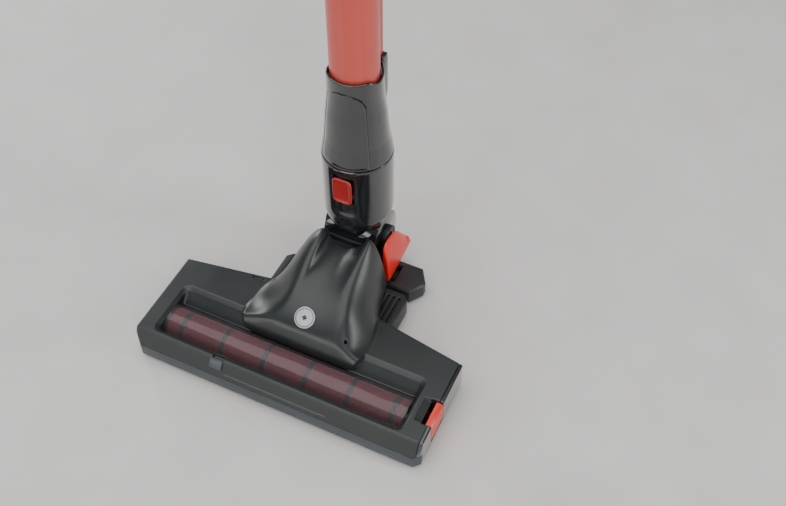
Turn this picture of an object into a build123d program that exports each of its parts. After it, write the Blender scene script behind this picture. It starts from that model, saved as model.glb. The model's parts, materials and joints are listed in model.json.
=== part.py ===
from build123d import *
import os
from math import cos, radians, sin, sqrt, tan

# Motorised floor head of a stick vacuum cleaner with the lower end of its wand.
# Millimetres. x runs along the brush roll, +y to the rear, z up from the floor.
# Origin: on the floor, midway between the front face and the collar's rear face.

os.makedirs("parts", exist_ok=True)

# ---- Overall sizes ----
head_length = 255.0
head_depth = 85.0  # front face to the rear corners
total_depth = 189.65  # front face to the rear of the collar
head_height = 31.0  # floor to the flat top
ground_gap = 3.0
wand_top = 345.0
collar_radius = 28.65
tube_radius = 18.5

# ---- Walls and clearances ----
cover_wall = 2.2
base_thickness = 2.2
tube_wall = 1.2
seat_gap = 0.2  # between pieces of one body
free_gap = 0.4  # between pieces that move past each other
slip = 0.05  # radial, shaft in hole

# ---- Head outline ----
corner_cut = 5.0
slope_foot = 16.5  # height where the front leans back
slope_run = 7.0
rear_slope = 9.0  # degrees that each rear edge slants back to the middle
mid_half = 48.0
cap_thickness = 6.0
bumper_thickness = 3.0
bumper_height = 12.6
front_rail = 6.0

half_length = head_length / 2
front_y = -total_depth / 2
pivot_y = total_depth / 2 - collar_radius
corner_y = front_y + head_depth
mid_y = corner_y + (half_length - mid_half) * tan(radians(rear_slope))
cap_x = half_length - cap_thickness
skirt_z = ground_gap + 0.4
base_top = ground_gap + base_thickness
bumper_top = skirt_z + bumper_height

# ---- Brush roll and its chamber ----
fleece_radius = 13.3
roll_lift = 1.0  # floor to the fleece
core_radius = 10.5
core_wall = 1.8
roll_shaft_radius = 3.0
window_wall = 1.6
window_gap = 0.9  # fleece to the window's inside
roll_setback = 32.0  # front face to the roll's axis
roll_left = -109.0
roll_right = 102.5
end_play = 2.2  # roll's end to the chamber's end wall
chamber_wall = 1.8

roll_y = front_y + roll_setback
roll_z = roll_lift + fleece_radius
window_inner = fleece_radius + window_gap
window_outer = window_inner + window_wall
chamber_left = roll_left - end_play
chamber_right = roll_right + end_play
chamber_radius = window_outer + seat_gap
mouth_front = roll_y - chamber_radius
mouth_rear = roll_y + chamber_radius

# ---- Window well in the cover ----
well_depth = 10.0
well_taper = 20.0
well_left = chamber_left - 2.7
well_right = chamber_right + 3.3
well_front = front_y + 10.0
well_rear = mouth_rear + 13.0
well_corner = 6.0
well_floor = head_height - well_depth

# ---- Neck pivot, knuckle and cradle ----
pedal_reach = 27.0  # pivot to the pedal's rear lip
pivot_z = 58.0
barrel_radius = 21.0
barrel_wall = 2.4
barrel_half = 23.5
trunnion_radius = 5.0
cheek_thickness = 4.5
cradle_wall = 2.0
spigot_radius = 20.5
spigot_wall = 2.5
pedal_rear = pivot_y + pedal_reach
cradle_inner = barrel_radius + free_gap
cradle_outer = cradle_inner + cradle_wall
cheek_inner = barrel_half + free_gap
cheek_outer = cheek_inner + cheek_thickness

# ---- Collar, wand fitting and tube ----
collar_base = pivot_z + barrel_radius + 1.0
collar_top = 150.0
collar_foot_radius = 26.7
collar_wall = 2.4
ring_height = 14.0  # swivel ring at the foot of the collar
liner_wall = 1.7
plug_wall = 3.2
plug_depth = 44.0  # fitting's plug inside the collar
fitting_neck_z = 212.0
fitting_top = 230.0
fitting_neck_radius = 23.0
fitting_top_radius = 22.0
tube_foot = 178.0
spine_half = 13.5
spine_reach = 28.5  # behind the wand's axis
rib_half = 11.0
rib_reach = 26.0

liner_outer = collar_radius - collar_wall - seat_gap
liner_inner = liner_outer - liner_wall
plug_radius = liner_inner - slip
swivel_base = collar_base + 1.5
swivel_top = swivel_base + ring_height

# ---- Tower that rises from the cover ----
nose_y = mouth_rear - 0.5
tower_rear = pivot_y - barrel_radius - 2.0
lobe_top = head_height + 49.0
channel_half = 13.0
socket_radius = collar_radius + 2.4

# ---- Rear chassis and wheels ----
block_half = 58.0
block_top = 20.0
block_rear = pivot_y - 25.0
sled_top = 17.0
sled_front = pivot_y - 19.5
sled_rear = pivot_y + 10.0
sled_left = -44.0
sled_right = 63.0
chassis_floor = 3.0
wheel_radius = 8.0
wheel_width = 7.0
wheel_x = 34.0
wheel_y = pivot_y - 5.0
tyre_thickness = 1.8
rear_axle_radius = 1.5
roller_radius = 6.0
roller_width = 8.0
roller_x = 48.0
roller_y = roll_y + 38.0
roller_axle_radius = 1.25

# ---- Pedal ----
pedal_pin_y = pivot_y - 15.0
pedal_pin_z = 22.0
pedal_pin_radius = 2.0
pedal_half = 36.0
flank_thickness = 6.7
lip_depth = 12.0
lip_top = 36.0
lip_low = 27.0
saddle_drop = 5.0

# ---- Motor, belt and latch ----
motor_radius = 10.5
motor_left = -106.0
motor_length = 42.0
motor_wall = 0.9
motor_y = roll_y + 42.0
motor_z = 16.5
motor_shaft_radius = 1.6
belt_thickness = 1.4
roll_pulley_radius = roll_z - base_top - free_gap - belt_thickness - 0.5
pinion_radius = 4.0
pulley_width = 6.0
belt_width = 5.0
latch_length = 22.0
latch_travel = 3.0
latch_low = 8.0
latch_top = 29.3
button_travel = 2.0

motor_right = motor_left + motor_length
belt_x = chamber_left - chamber_wall - 0.9 - pulley_width / 2
pinion_outer = belt_x - pulley_width / 2
latch_y = roll_y + 3.0
latch_inner = cap_x + 0.5
latch_reach = latch_inner - latch_travel - free_gap
recess_inner = cap_x - 6.0
pocket_wall = 1.5
right_seam = recess_inner - pocket_wall - 0.8  # cover to right cap


# ---- Shared constructions ----
def across(x):
    # sketch plane across the head: local x is y, local y is z, it grows toward +x
    return Plane(origin=(x, 0, 0), x_dir=(0, 1, 0), z_dir=(1, 0, 0))


def rod(x_from, x_to, y, z, radius, mode=Mode.ADD):
    with BuildSketch(across(x_from)) as disc:
        with Locations((y, z)):
            Circle(radius)
    extrude(disc.sketch, amount=x_to - x_from, mode=mode)


def post(x, y, z_from, z_to, radius, mode=Mode.ADD):
    with BuildSketch(Plane.XY.offset(z_from)) as disc:
        with Locations((x, y)):
            Circle(radius)
    extrude(disc.sketch, amount=z_to - z_from, mode=mode)


def block(x_span, y_span, z_span, mode=Mode.ADD):
    with BuildSketch(Plane.XY.offset(z_span[0])) as foot:
        with Locations(((x_span[0] + x_span[1]) / 2, (y_span[0] + y_span[1]) / 2)):
            Rectangle(x_span[1] - x_span[0], y_span[1] - y_span[0])
    extrude(foot.sketch, amount=z_span[1] - z_span[0], mode=mode)


def side_prism(points, x_from, x_to, mode=Mode.ADD):
    # outline in (y, z), extruded along the head
    with BuildSketch(across(x_from)) as profile:
        with BuildLine():
            Polyline(*points, close=True)
        make_face()
    extrude(profile.sketch, amount=x_to - x_from, mode=mode)


def plan_prism(points, z_from, z_to, mode=Mode.ADD):
    with BuildSketch(Plane.XY.offset(z_from)) as profile:
        with BuildLine():
            Polyline(*points, close=True)
        make_face()
    extrude(profile.sketch, amount=z_to - z_from, mode=mode)


def around_wand(z_from, z_to, outer, inner, mode=Mode.ADD):
    # upright ring on the wand's axis
    with BuildSketch(Plane.XY.offset(z_from)) as ring:
        with Locations((0, pivot_y)):
            Circle(outer)
            if inner > 0:
                Circle(inner, mode=Mode.SUBTRACT)
    extrude(ring.sketch, amount=z_to - z_from, mode=mode)


def wand_turned(points, mode=Mode.ADD):
    # outline in (radius, height), turned about the wand's axis
    with BuildSketch(Plane(origin=(0, pivot_y, 0), x_dir=(1, 0, 0), z_dir=(0, -1, 0))) as profile:
        with BuildLine():
            Polyline(*points, close=True)
        make_face()
    revolve(profile.sketch, axis=Axis((0, pivot_y, 0), (0, 0, 1)), mode=mode)


def pivot_wedge(start, end, x_half, mode):
    # fan about the neck pivot between two angles, measured from +y toward +z
    steps = 3
    reach = cradle_outer + 12
    angles = [start + (end - start) * step / steps for step in range(steps + 1)]
    fan = [(pivot_y + reach * cos(radians(a)), pivot_z + reach * sin(radians(a))) for a in angles]
    side_prism([(pivot_y, pivot_z)] + fan, -x_half, x_half, mode=mode)


def head_plan(inset, front_inset):
    # outline of the head seen from above, drawn in from the outer faces
    side = half_length - inset
    front = front_y + front_inset
    cut = corner_cut - (2 - sqrt(2)) * inset
    rear = corner_y - inset
    middle = mid_y - inset
    return [
        (cut - side, front),
        (side - cut, front),
        (side, front + cut),
        (side, rear),
        (mid_half, middle),
        (-mid_half, middle),
        (-side, rear),
        (-side, front + cut),
    ]


def front_wedge(shift):
    # everything above the leaning front, moved in by a wall
    pitch = (head_height - slope_foot) / slope_run
    side_prism([
        (front_y + shift - 2, slope_foot - 2 * pitch),
        (front_y + shift + slope_run + 2, head_height + 2 * pitch),
        (front_y + shift - 2, head_height + 2 * pitch),
    ], -half_length - 1, half_length + 1, mode=Mode.SUBTRACT)


def coil(start, direction, radius, wire, length, turns):
    with BuildLine() as path:
        Helix(pitch=length / turns, height=length, radius=radius, center=start, direction=direction)
    with BuildSketch(Plane(origin=path.line @ 0, z_dir=path.line % 0)) as section:
        Circle(wire)
    sweep(section.sketch, path=path.line, is_frenet=True)


# ---- Tower shape, used for the skin and for its hollow ----
overhang_z = head_height - 2.5
tower_corner = 8.0
hollow_run = 20.0  # the hollow runs out through the open rear
tower_stations = [
    # height, half width, front face, rear face
    (well_floor - 1, 47.0, nose_y, tower_rear),
    (head_height + 4, 43.0, nose_y - 1.5, tower_rear),
    (head_height + 12, 40.0, nose_y + 1.5, tower_rear),
    (head_height + 20, 37.0, nose_y + 15.5, tower_rear),
    (head_height + 33, 33.0, nose_y + 50.0, tower_rear - 1),
    (lobe_top, 28.0, nose_y + 68.0, tower_rear - 2),
]


def tower_loft(inset, rear_run):
    faces = []
    for height, half, front, rear in tower_stations:
        near = front + inset * 1.5
        far = rear + rear_run
        with BuildSketch(Plane.XY.offset(height - inset)) as station:
            with Locations((0, (near + far) / 2)):
                RectangleRounded(2 * (half - inset), far - near, tower_corner)
        faces.append(station.sketch.face())
    loft(faces, ruled=True)


def channel_cut(margin):
    # open channel between the two lobes, rising to the rear
    floor = [
        (nose_y + 14, head_height + 20.5 - margin),
        (nose_y + 56, head_height + 33 - margin),
        (tower_rear + 25, head_height + 35 - margin),
        (tower_rear + 25, lobe_top + 20),
        (nose_y + 14, lobe_top + 20),
    ]
    side_prism(floor, -channel_half - margin, channel_half + margin, mode=Mode.SUBTRACT)
    around_wand(head_height + 29 - margin, lobe_top + 20, socket_radius + margin, 0, mode=Mode.SUBTRACT)


with BuildPart() as tower_skin:
    tower_loft(0, 0)
    channel_cut(0)
    block((-half_length, half_length), (mid_y, tower_rear + 1), (0, overhang_z), mode=Mode.SUBTRACT)

with BuildPart() as tower_hollow:
    tower_loft(cover_wall, hollow_run)
    channel_cut(cover_wall)

# ---- Hollow of the head and the step that the bumper sits in ----
cover_ceiling = head_height - cover_wall
slope_wall = cover_wall * sqrt(slope_run ** 2 + (head_height - slope_foot) ** 2) / (head_height - slope_foot)
end_wall = right_seam - cover_wall
beyond = 20.0  # cutters run this far past what they cut

with BuildPart() as head_cavity:
    plan_prism(head_plan(cover_wall, front_rail), 0, cover_ceiling)
    front_wedge(slope_wall)
    block((end_wall, half_length), (front_y, pedal_rear), (0, head_height), mode=Mode.SUBTRACT)

bumper_end = front_y + corner_cut + 2
with BuildPart() as bumper_step:
    plan_prism(head_plan(-1, -1), 0, bumper_top + seat_gap)
    bumper_seat = bumper_thickness + seat_gap
    plan_prism(head_plan(bumper_seat, bumper_seat), 0, bumper_top + seat_gap, mode=Mode.SUBTRACT)
    block((-half_length - beyond, half_length + beyond), (bumper_end, pedal_rear), (0, head_height),
          mode=Mode.SUBTRACT)

# ---- Top cover: flat shell with the window well, the tower and its lobes ----
screw_xs = [-88.0, -56.0, 56.0, 88.0]
screw_y = mouth_rear + 8.0
boss_radius = 3.4
screw_shank = 1.3
vents = [(-62.0, 10.0), (-45.0, 8.0)]  # by the left rear edge: centre in x, length
vent_depth = 1.0
badge_radius = 8.85
badge_thickness = 1.6
badge_lean = 33.0
badge_plane = Plane(
    origin=(0, nose_y + 13.5, head_height + 18.4),
    x_dir=(1, 0, 0),
    z_dir=(0, -sin(radians(badge_lean)), cos(radians(badge_lean))),
)
bearing_radius = 5.5
latch_front = latch_y - latch_length / 2
latch_rear = latch_y + latch_length / 2
stem_y = latch_rear - 4.0
stem_z = 13.0
stem_radius = 2.0
guide_outer = latch_inner - 5.4
guide_inner = guide_outer - 3.0


def well_prism(grow, floor_z):
    # tapered well under the flat top, or the tub around it
    centre = ((well_left + well_right) / 2, (well_front + well_rear) / 2)
    with BuildSketch(Plane.XY.offset(head_height)) as rim:
        with Locations(centre):
            RectangleRounded(well_right - well_left + 2 * grow, well_rear - well_front + 2 * grow, well_corner)
    return extrude(rim.sketch, amount=floor_z - head_height, taper=well_taper, mode=Mode.PRIVATE)


with BuildPart() as top_cover:
    plan_prism(head_plan(0, 0), skirt_z, head_height)
    front_wedge(0)
    block((right_seam, half_length + beyond), (front_y - 1, pedal_rear), (0, head_height + 1),
          mode=Mode.SUBTRACT)
    block((-half_length - beyond, -cap_x), (front_y - 1, pedal_rear), (0, head_height + 1),
          mode=Mode.SUBTRACT)
    add(head_cavity.part, mode=Mode.SUBTRACT)
    add(well_prism(cover_wall, well_floor - cover_wall))
    add(well_prism(0, well_floor), mode=Mode.SUBTRACT)
    add(tower_skin.part)
    for x in screw_xs:
        post(x, screw_y, base_top + seat_gap, well_floor - cover_wall / 2, boss_radius)
    add(tower_hollow.part, mode=Mode.SUBTRACT)
    rod(chamber_left, chamber_right, roll_y, roll_z, chamber_radius, mode=Mode.SUBTRACT)
    rod(chamber_left - 3, chamber_right + 3, roll_y, roll_z, bearing_radius + seat_gap, mode=Mode.SUBTRACT)
    add(bumper_step.part, mode=Mode.SUBTRACT)
    # rear opening that the chassis and the duct pass through
    block((-mid_half + 4, mid_half - 4), (mid_y - cover_wall - 1, mid_y + 1), (0, overhang_z),
          mode=Mode.SUBTRACT)
    # way for the latch's stem through the end wall
    rod(end_wall - 1, right_seam + 1, stem_y, stem_z, stem_radius + free_gap, mode=Mode.SUBTRACT)
    for x in screw_xs:
        post(x, screw_y, base_top, well_floor - cover_wall / 2, screw_shank, mode=Mode.SUBTRACT)
    for x, length in vents:
        rear_edge = corner_y + (half_length - abs(x)) * tan(radians(rear_slope))
        block((x - length / 2, x + length / 2), (rear_edge - 5, rear_edge - 3),
              (head_height - vent_depth, head_height + 1), mode=Mode.SUBTRACT)
    with BuildSketch(badge_plane.offset(-badge_thickness / 2)) as badge_seat:
        Circle(badge_radius + seat_gap)
    extrude(badge_seat.sketch, amount=badge_thickness * 3, mode=Mode.SUBTRACT)
top_cover.part.label = "top_cover"
export_step(top_cover.part, "parts/top_cover.step")

# ---- Badge: plain generic disc on the nose ----
with BuildPart() as badge:
    with BuildSketch(badge_plane.offset(-badge_thickness / 2)) as badge_disc:
        Circle(badge_radius)
    extrude(badge_disc.sketch, amount=badge_thickness)
badge.part.label = "badge"
export_step(badge.part, "parts/badge.step")

# ---- Clear window over the roll ----
window_drop = 19.6
with BuildPart() as window:
    with BuildSketch(across(chamber_left + seat_gap)) as window_arc:
        with Locations((roll_y, roll_z)):
            Circle(window_outer)
            Circle(window_inner, mode=Mode.SUBTRACT)
        with Locations((roll_y, window_drop - chamber_radius)):
            Rectangle(4 * chamber_radius, 2 * chamber_radius, mode=Mode.SUBTRACT)
    extrude(window_arc.sketch, amount=chamber_right - chamber_left - 2 * seat_gap)
window.part.label = "window"
export_step(window.part, "parts/window.step")

# ---- Bumper strip along the front and round its corners ----
with BuildPart() as bumper:
    plan_prism(head_plan(0, 0), skirt_z, bumper_top)
    plan_prism(head_plan(bumper_thickness, bumper_thickness), 0, head_height, mode=Mode.SUBTRACT)
    block((-half_length - beyond, half_length + beyond), (bumper_end - seat_gap, pedal_rear),
          (0, head_height), mode=Mode.SUBTRACT)
bumper.part.label = "bumper"
export_step(bumper.part, "parts/bumper.step")

# ---- End caps ----
cap_skin = 2.2
pocket_floor = 20.0
pocket_cheek = 1.8

with BuildPart() as cap_hollow:
    plan_prism(head_plan(cap_skin, front_rail), skirt_z + cap_skin, head_height - cap_skin)
    front_wedge(slope_wall)


def end_cap_body(cut_from, cut_to):
    # the head's outline with everything between two heights of x taken away
    plan_prism(head_plan(0, 0), skirt_z, head_height)
    chamfer(edges().group_by(Axis.Z)[-1], length=1.0)
    front_wedge(0)
    block((cut_from, cut_to), (front_y - 1, pedal_rear), (0, head_height + 1), mode=Mode.SUBTRACT)
    add(cap_hollow.part, mode=Mode.SUBTRACT)
    add(bumper_step.part, mode=Mode.SUBTRACT)


with BuildPart() as end_cap_left:
    end_cap_body(-cap_x - seat_gap, half_length + beyond)
end_cap_left.part.label = "end_cap_left"
export_step(end_cap_left.part, "parts/end_cap_left.step")

with BuildPart() as end_cap_right:
    end_cap_body(-half_length - beyond, right_seam + seat_gap)
    # finger recess beside the latch, and the latch's own window
    block((recess_inner - pocket_wall, half_length - cap_skin + 0.1),
          (latch_front - pocket_cheek, latch_rear + pocket_cheek),
          (pocket_floor - pocket_wall, head_height - 0.5))
    block((recess_inner, latch_reach + 1), (latch_front - 0.3, latch_rear + 0.3),
          (pocket_floor, head_height + 1), mode=Mode.SUBTRACT)
    block((latch_reach, half_length + 1), (latch_front - free_gap, latch_rear + free_gap),
          (latch_low - free_gap, head_height + 1), mode=Mode.SUBTRACT)
    # guide for the latch's stem
    block((guide_inner, guide_outer), (stem_y - 4, stem_y + 4), (skirt_z + cap_skin - 0.5, stem_z + 3.5))
    rod(guide_inner - 1, guide_outer + 1, stem_y, stem_z, stem_radius + slip, mode=Mode.SUBTRACT)
end_cap_right.part.label = "end_cap_right"
export_step(end_cap_right.part, "parts/end_cap_right.step")

# ---- Latch that frees the brush roll ----
latch_spring_wire = 0.25

with BuildPart() as latch:
    block((latch_inner, half_length), (latch_front, latch_rear), (latch_low, latch_top))
    chamfer(latch.edges().filter_by(Axis.Y).group_by(Axis.X)[-1], length=1.2)
    rod(guide_inner - 0.6, latch_inner, stem_y, stem_z, stem_radius)
latch.part.label = "latch"
export_step(latch.part, "parts/latch.step")

with BuildPart() as latch_spring:
    coil((guide_outer + 0.4, stem_y, stem_z), (1, 0, 0), stem_radius + 0.9, latch_spring_wire,
         latch_inner - guide_outer - 0.8, 4)
latch_spring.part.label = "latch_spring"
export_step(latch_spring.part, "parts/latch_spring.step")

# ---- Base plate with the suction mouth and the walls of the roll's chamber ----
chamber_wall_top = well_floor - cover_wall - 0.3
roller_well = 1.6
front_inner = front_rail + seat_gap
screw_head_radius = 2.8
screw_head_depth = 1.4
port_half = 20.0

with BuildPart() as base_plate:
    plan_prism(head_plan(cover_wall + seat_gap, front_inner), ground_gap, base_top)
    block((end_wall - seat_gap, half_length), (front_y, pedal_rear), (0, head_height), mode=Mode.SUBTRACT)
    block((-half_length, seat_gap - cap_x), (front_y, pedal_rear), (0, head_height), mode=Mode.SUBTRACT)
    block((chamber_left - chamber_wall, chamber_right + chamber_wall),
          (mouth_front - chamber_wall, mouth_rear + chamber_wall), (ground_gap, chamber_wall_top))
    block((chamber_left, chamber_right), (mouth_front, mouth_rear), (0, head_height), mode=Mode.SUBTRACT)
    # saddles for the roll's bearings, open to the top
    for x_from, x_to in ((chamber_left - 3, chamber_left), (chamber_right, chamber_right + 3)):
        rod(x_from, x_to, roll_y, roll_z, bearing_radius + seat_gap, mode=Mode.SUBTRACT)
        block((x_from, x_to), (roll_y - bearing_radius - seat_gap, roll_y + bearing_radius + seat_gap),
              (roll_z, head_height), mode=Mode.SUBTRACT)
    # suction port in the rear wall
    block((-port_half, port_half), (mouth_rear - 1, mouth_rear + chamber_wall + 1),
          (base_top + 1.2, chamber_wall_top + 1), mode=Mode.SUBTRACT)
    for side in (-1, 1):
        x = side * roller_x
        block((x - roller_width / 2 - roller_well, x + roller_width / 2 + roller_well),
              (roller_y - roller_radius - roller_well, roller_y + roller_radius + roller_well),
              (0, base_top + 1), mode=Mode.SUBTRACT)
        for ear in (-1, 1):
            ear_x = x + ear * (roller_width / 2 + roller_well + 1)
            block((ear_x - 1, ear_x + 1), (roller_y - 4, roller_y + 4), (base_top - 1, roller_radius + 4))
        rod(x - roller_width, x + roller_width, roller_y, roller_radius, roller_axle_radius,
            mode=Mode.SUBTRACT)
    for x in screw_xs:
        post(x, screw_y, 0, base_top + 1, screw_shank, mode=Mode.SUBTRACT)
        post(x, screw_y, 0, ground_gap + screw_head_depth, screw_head_radius + seat_gap, mode=Mode.SUBTRACT)
base_plate.part.label = "base_plate"
export_step(base_plate.part, "parts/base_plate.step")

# ---- Screws that hold the base plate to the cover's bosses ----
screw_length = 12.0
with BuildPart() as cover_screws:
    for x in screw_xs:
        post(x, screw_y, ground_gap, ground_gap + screw_head_depth, screw_head_radius)
        post(x, screw_y, ground_gap + screw_head_depth, ground_gap + screw_length, screw_shank)
    for x in screw_xs:
        block((x - 2, x + 2), (screw_y - 0.35, screw_y + 0.35), (ground_gap, ground_gap + 0.6),
              mode=Mode.SUBTRACT)
cover_screws.part.label = "cover_screws"
export_step(cover_screws.part, "parts/cover_screws.step")

# ---- Lint strips under the front and rear edge of the mouth ----
strip_width = 3.2
strip_low = ground_gap - 1.4
with BuildPart() as lint_strips:
    for y in (mouth_front - chamber_wall - 1.6 - strip_width / 2, mouth_rear + 1.2 + strip_width / 2):
        block((chamber_left + 4, chamber_right - 4), (y - strip_width / 2, y + strip_width / 2),
              (strip_low, ground_gap))
lint_strips.part.label = "lint_strips"
export_step(lint_strips.part, "parts/lint_strips.step")

# ---- Brush roll: tube, end plugs, shaft, fleece sleeves and bristle rings ----
plug_thickness = 6.0
ring_count = 6
ring_width = 4.5
first_ring = 13.0  # roll's end to the first ring's centre
ring_pitch = (roll_right - roll_left - first_ring - 8.75) / (ring_count - 1)
ring_centres = [roll_left + first_ring + ring_pitch * index for index in range(ring_count)]
shaft_right = chamber_right + chamber_wall + 3.5

with BuildPart() as roll_core:
    rod(roll_left, roll_right, roll_y, roll_z, core_radius)
    rod(roll_left, roll_right, roll_y, roll_z, core_radius - core_wall, mode=Mode.SUBTRACT)
roll_core.part.label = "roll_core"
export_step(roll_core.part, "parts/roll_core.step")

with BuildPart() as roll_plugs:
    for x in (roll_left, roll_right - plug_thickness):
        rod(x, x + plug_thickness, roll_y, roll_z, core_radius - core_wall)
        rod(x, x + plug_thickness, roll_y, roll_z, roll_shaft_radius, mode=Mode.SUBTRACT)
roll_plugs.part.label = "roll_plugs"
export_step(roll_plugs.part, "parts/roll_plugs.step")

with BuildPart() as roll_shaft:
    rod(pinion_outer, shaft_right, roll_y, roll_z, roll_shaft_radius)
    chamfer(roll_shaft.edges(), length=0.5)
roll_shaft.part.label = "roll_shaft"
export_step(roll_shaft.part, "parts/roll_shaft.step")

with BuildPart() as roll_fleece:
    sleeve_start = roll_left
    for centre in ring_centres + [roll_right + ring_width / 2]:
        sleeve_end = centre - ring_width / 2
        rod(sleeve_start, sleeve_end, roll_y, roll_z, fleece_radius)
        sleeve_start = centre + ring_width / 2
    rod(roll_left, roll_right, roll_y, roll_z, core_radius, mode=Mode.SUBTRACT)
roll_fleece.part.label = "roll_fleece"
export_step(roll_fleece.part, "parts/roll_fleece.step")

with BuildPart() as roll_bristles:
    for centre in ring_centres:
        rod(centre - ring_width / 2, centre + ring_width / 2, roll_y, roll_z, fleece_radius - 0.2)
    rod(roll_left, roll_right, roll_y, roll_z, core_radius, mode=Mode.SUBTRACT)
roll_bristles.part.label = "roll_bristles"
export_step(roll_bristles.part, "parts/roll_bristles.step")

with BuildPart() as roll_bearings:
    for x_from, x_to in ((chamber_left - 2.2, chamber_left + 0.8), (chamber_right - 0.8, chamber_right + 2.2)):
        rod(x_from, x_to, roll_y, roll_z, bearing_radius)
        rod(x_from, x_to, roll_y, roll_z, roll_shaft_radius + slip, mode=Mode.SUBTRACT)
roll_bearings.part.label = "roll_bearings"
export_step(roll_bearings.part, "parts/roll_bearings.step")


# ---- Belt drive on the left ----
flange = 1.0
flange_rise = 1.6


def pulley(y, z, groove, bore):
    rod(belt_x - pulley_width / 2, belt_x + pulley_width / 2, y, z, groove)
    for x in (belt_x - pulley_width / 2, belt_x + pulley_width / 2 - flange):
        rod(x, x + flange, y, z, groove + flange_rise)
    rod(belt_x - pulley_width, belt_x + pulley_width, y, z, bore, mode=Mode.SUBTRACT)


with BuildPart() as roll_pulley:
    pulley(roll_y, roll_z, roll_pulley_radius, roll_shaft_radius)
roll_pulley.part.label = "roll_pulley"
export_step(roll_pulley.part, "parts/roll_pulley.step")

with BuildPart() as motor_pinion:
    pulley(motor_y, motor_z, pinion_radius, motor_shaft_radius)
motor_pinion.part.label = "motor_pinion"
export_step(motor_pinion.part, "parts/motor_pinion.step")

belt_run = pulley_width - 2 * flange - 2 * free_gap
with BuildPart() as drive_belt:
    for grow, way in ((belt_thickness, Mode.ADD), (0, Mode.SUBTRACT)):
        with BuildSketch(across(belt_x - belt_run / 2)) as loop:
            with Locations((roll_y, roll_z)):
                Circle(roll_pulley_radius + free_gap + grow)
            with Locations((motor_y, motor_z)):
                Circle(pinion_radius + free_gap + grow)
            make_hull()
        extrude(loop.sketch, amount=belt_run, mode=way)
drive_belt.part.label = "drive_belt"
export_step(drive_belt.part, "parts/drive_belt.step")

# ---- Motor: can, magnets and rotor ----
end_bell = 2.0
magnet_thickness = 1.2
air_space = 0.5
rotor_inset = 5.0
rotor_radius = motor_radius - motor_wall - magnet_thickness - air_space

with BuildPart() as motor_can:
    rod(motor_left, motor_right, motor_y, motor_z, motor_radius)
    rod(motor_left + end_bell, motor_right - end_bell, motor_y, motor_z, motor_radius - motor_wall,
        mode=Mode.SUBTRACT)
    rod(motor_left - 1, motor_right + 1, motor_y, motor_z, motor_shaft_radius + slip, mode=Mode.SUBTRACT)
motor_can.part.label = "motor_can"
export_step(motor_can.part, "parts/motor_can.step")

with BuildPart() as motor_magnets:
    magnet_outer = motor_radius - motor_wall
    rod(motor_left + rotor_inset, motor_right - rotor_inset, motor_y, motor_z, magnet_outer)
    rod(motor_left, motor_right, motor_y, motor_z, magnet_outer - magnet_thickness, mode=Mode.SUBTRACT)
    block((motor_left, motor_right), (motor_y - motor_radius, motor_y + motor_radius),
          (motor_z - 2.5, motor_z + 2.5), mode=Mode.SUBTRACT)
motor_magnets.part.label = "motor_magnets"
export_step(motor_magnets.part, "parts/motor_magnets.step")

with BuildPart() as motor_rotor:
    rod(motor_left + rotor_inset, motor_right - rotor_inset, motor_y, motor_z, rotor_radius)
    rod(pinion_outer, motor_right + 3, motor_y, motor_z, motor_shaft_radius)
motor_rotor.part.label = "motor_rotor"
export_step(motor_rotor.part, "parts/motor_rotor.step")

# ---- Circuit board and the lead to the motor ----
board_left = 62.0
board_right = 100.0
board_front = motor_y - 9.0
board_rear = motor_y + 6.0
board_z = base_top + 4.0
board_thickness = 1.6
lead_radius = 1.1
lead_y = motor_y + 7.0
lead_floor = base_top + lead_radius + 0.8

with BuildPart() as circuit_board:
    block((board_left, board_right), (board_front, board_rear), (board_z, board_z + board_thickness))
    for x, y, half, height in ((72, -4, 4, 6), (84, 1, 5, 3), (94, -5, 2.5, 8)):
        block((x - half, x + half), (motor_y + y - half / 1.5, motor_y + y + half / 1.5),
              (board_z + board_thickness, board_z + board_thickness + height))
circuit_board.part.label = "circuit_board"
export_step(circuit_board.part, "parts/circuit_board.step")

with BuildPart() as motor_lead:
    with BuildLine() as lead_run:
        Spline(
            (motor_right + 1.5, motor_y + 5, motor_z - 4),
            (motor_right + 14, lead_y, lead_floor + 1.5),
            (-20, lead_y, lead_floor),
            (20, lead_y, lead_floor),
            (board_left - 12, lead_y, lead_floor + 1.0),
            (board_left - 1.5, motor_y + 4, board_z + board_thickness + lead_radius + 1),
        )
    with BuildSketch(Plane(origin=lead_run.line @ 0, z_dir=lead_run.line % 0)) as lead_section:
        Circle(lead_radius)
    sweep(lead_section.sketch, path=lead_run.line)
motor_lead.part.label = "motor_lead"
export_step(motor_lead.part, "parts/motor_lead.step")

# ---- Air duct from the chamber up to the neck's cradle ----
duct_wall = 1.6
port_start = 205.0  # degrees about the pivot, from +y toward +z
port_end = 240.0
port_middle = radians((port_start + port_end) / 2)
duct_end = cradle_outer + seat_gap
duct_stations = [
    (Plane(origin=(0, mouth_rear + chamber_wall + seat_gap, base_top + 7.2), x_dir=(1, 0, 0), z_dir=(0, 1, 0)),
     40.0, 11.5),
    (Plane(origin=(0, mid_y - 1.5, block_top + 11.0), x_dir=(1, 0, 0), z_dir=(0, 0.86, 0.51)), 38.0, 15.0),
    (Plane(origin=(0, pivot_y + duct_end * cos(port_middle), pivot_z + duct_end * sin(port_middle)),
           x_dir=(1, 0, 0), z_dir=(0, -cos(port_middle), -sin(port_middle))), 38.0, 13.5),
]
with BuildPart() as air_duct:
    for shrink, way in ((0, Mode.ADD), (duct_wall, Mode.SUBTRACT)):
        duct_faces = []
        for plane, width, height in duct_stations:
            with BuildSketch(plane) as duct_station:
                RectangleRounded(width - 2 * shrink, height - 2 * shrink, 3.0)
            duct_faces.append(duct_station.sketch.face())
        loft(duct_faces, mode=way)
air_duct.part.label = "air_duct"
export_step(air_duct.part, "parts/air_duct.step")

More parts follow.
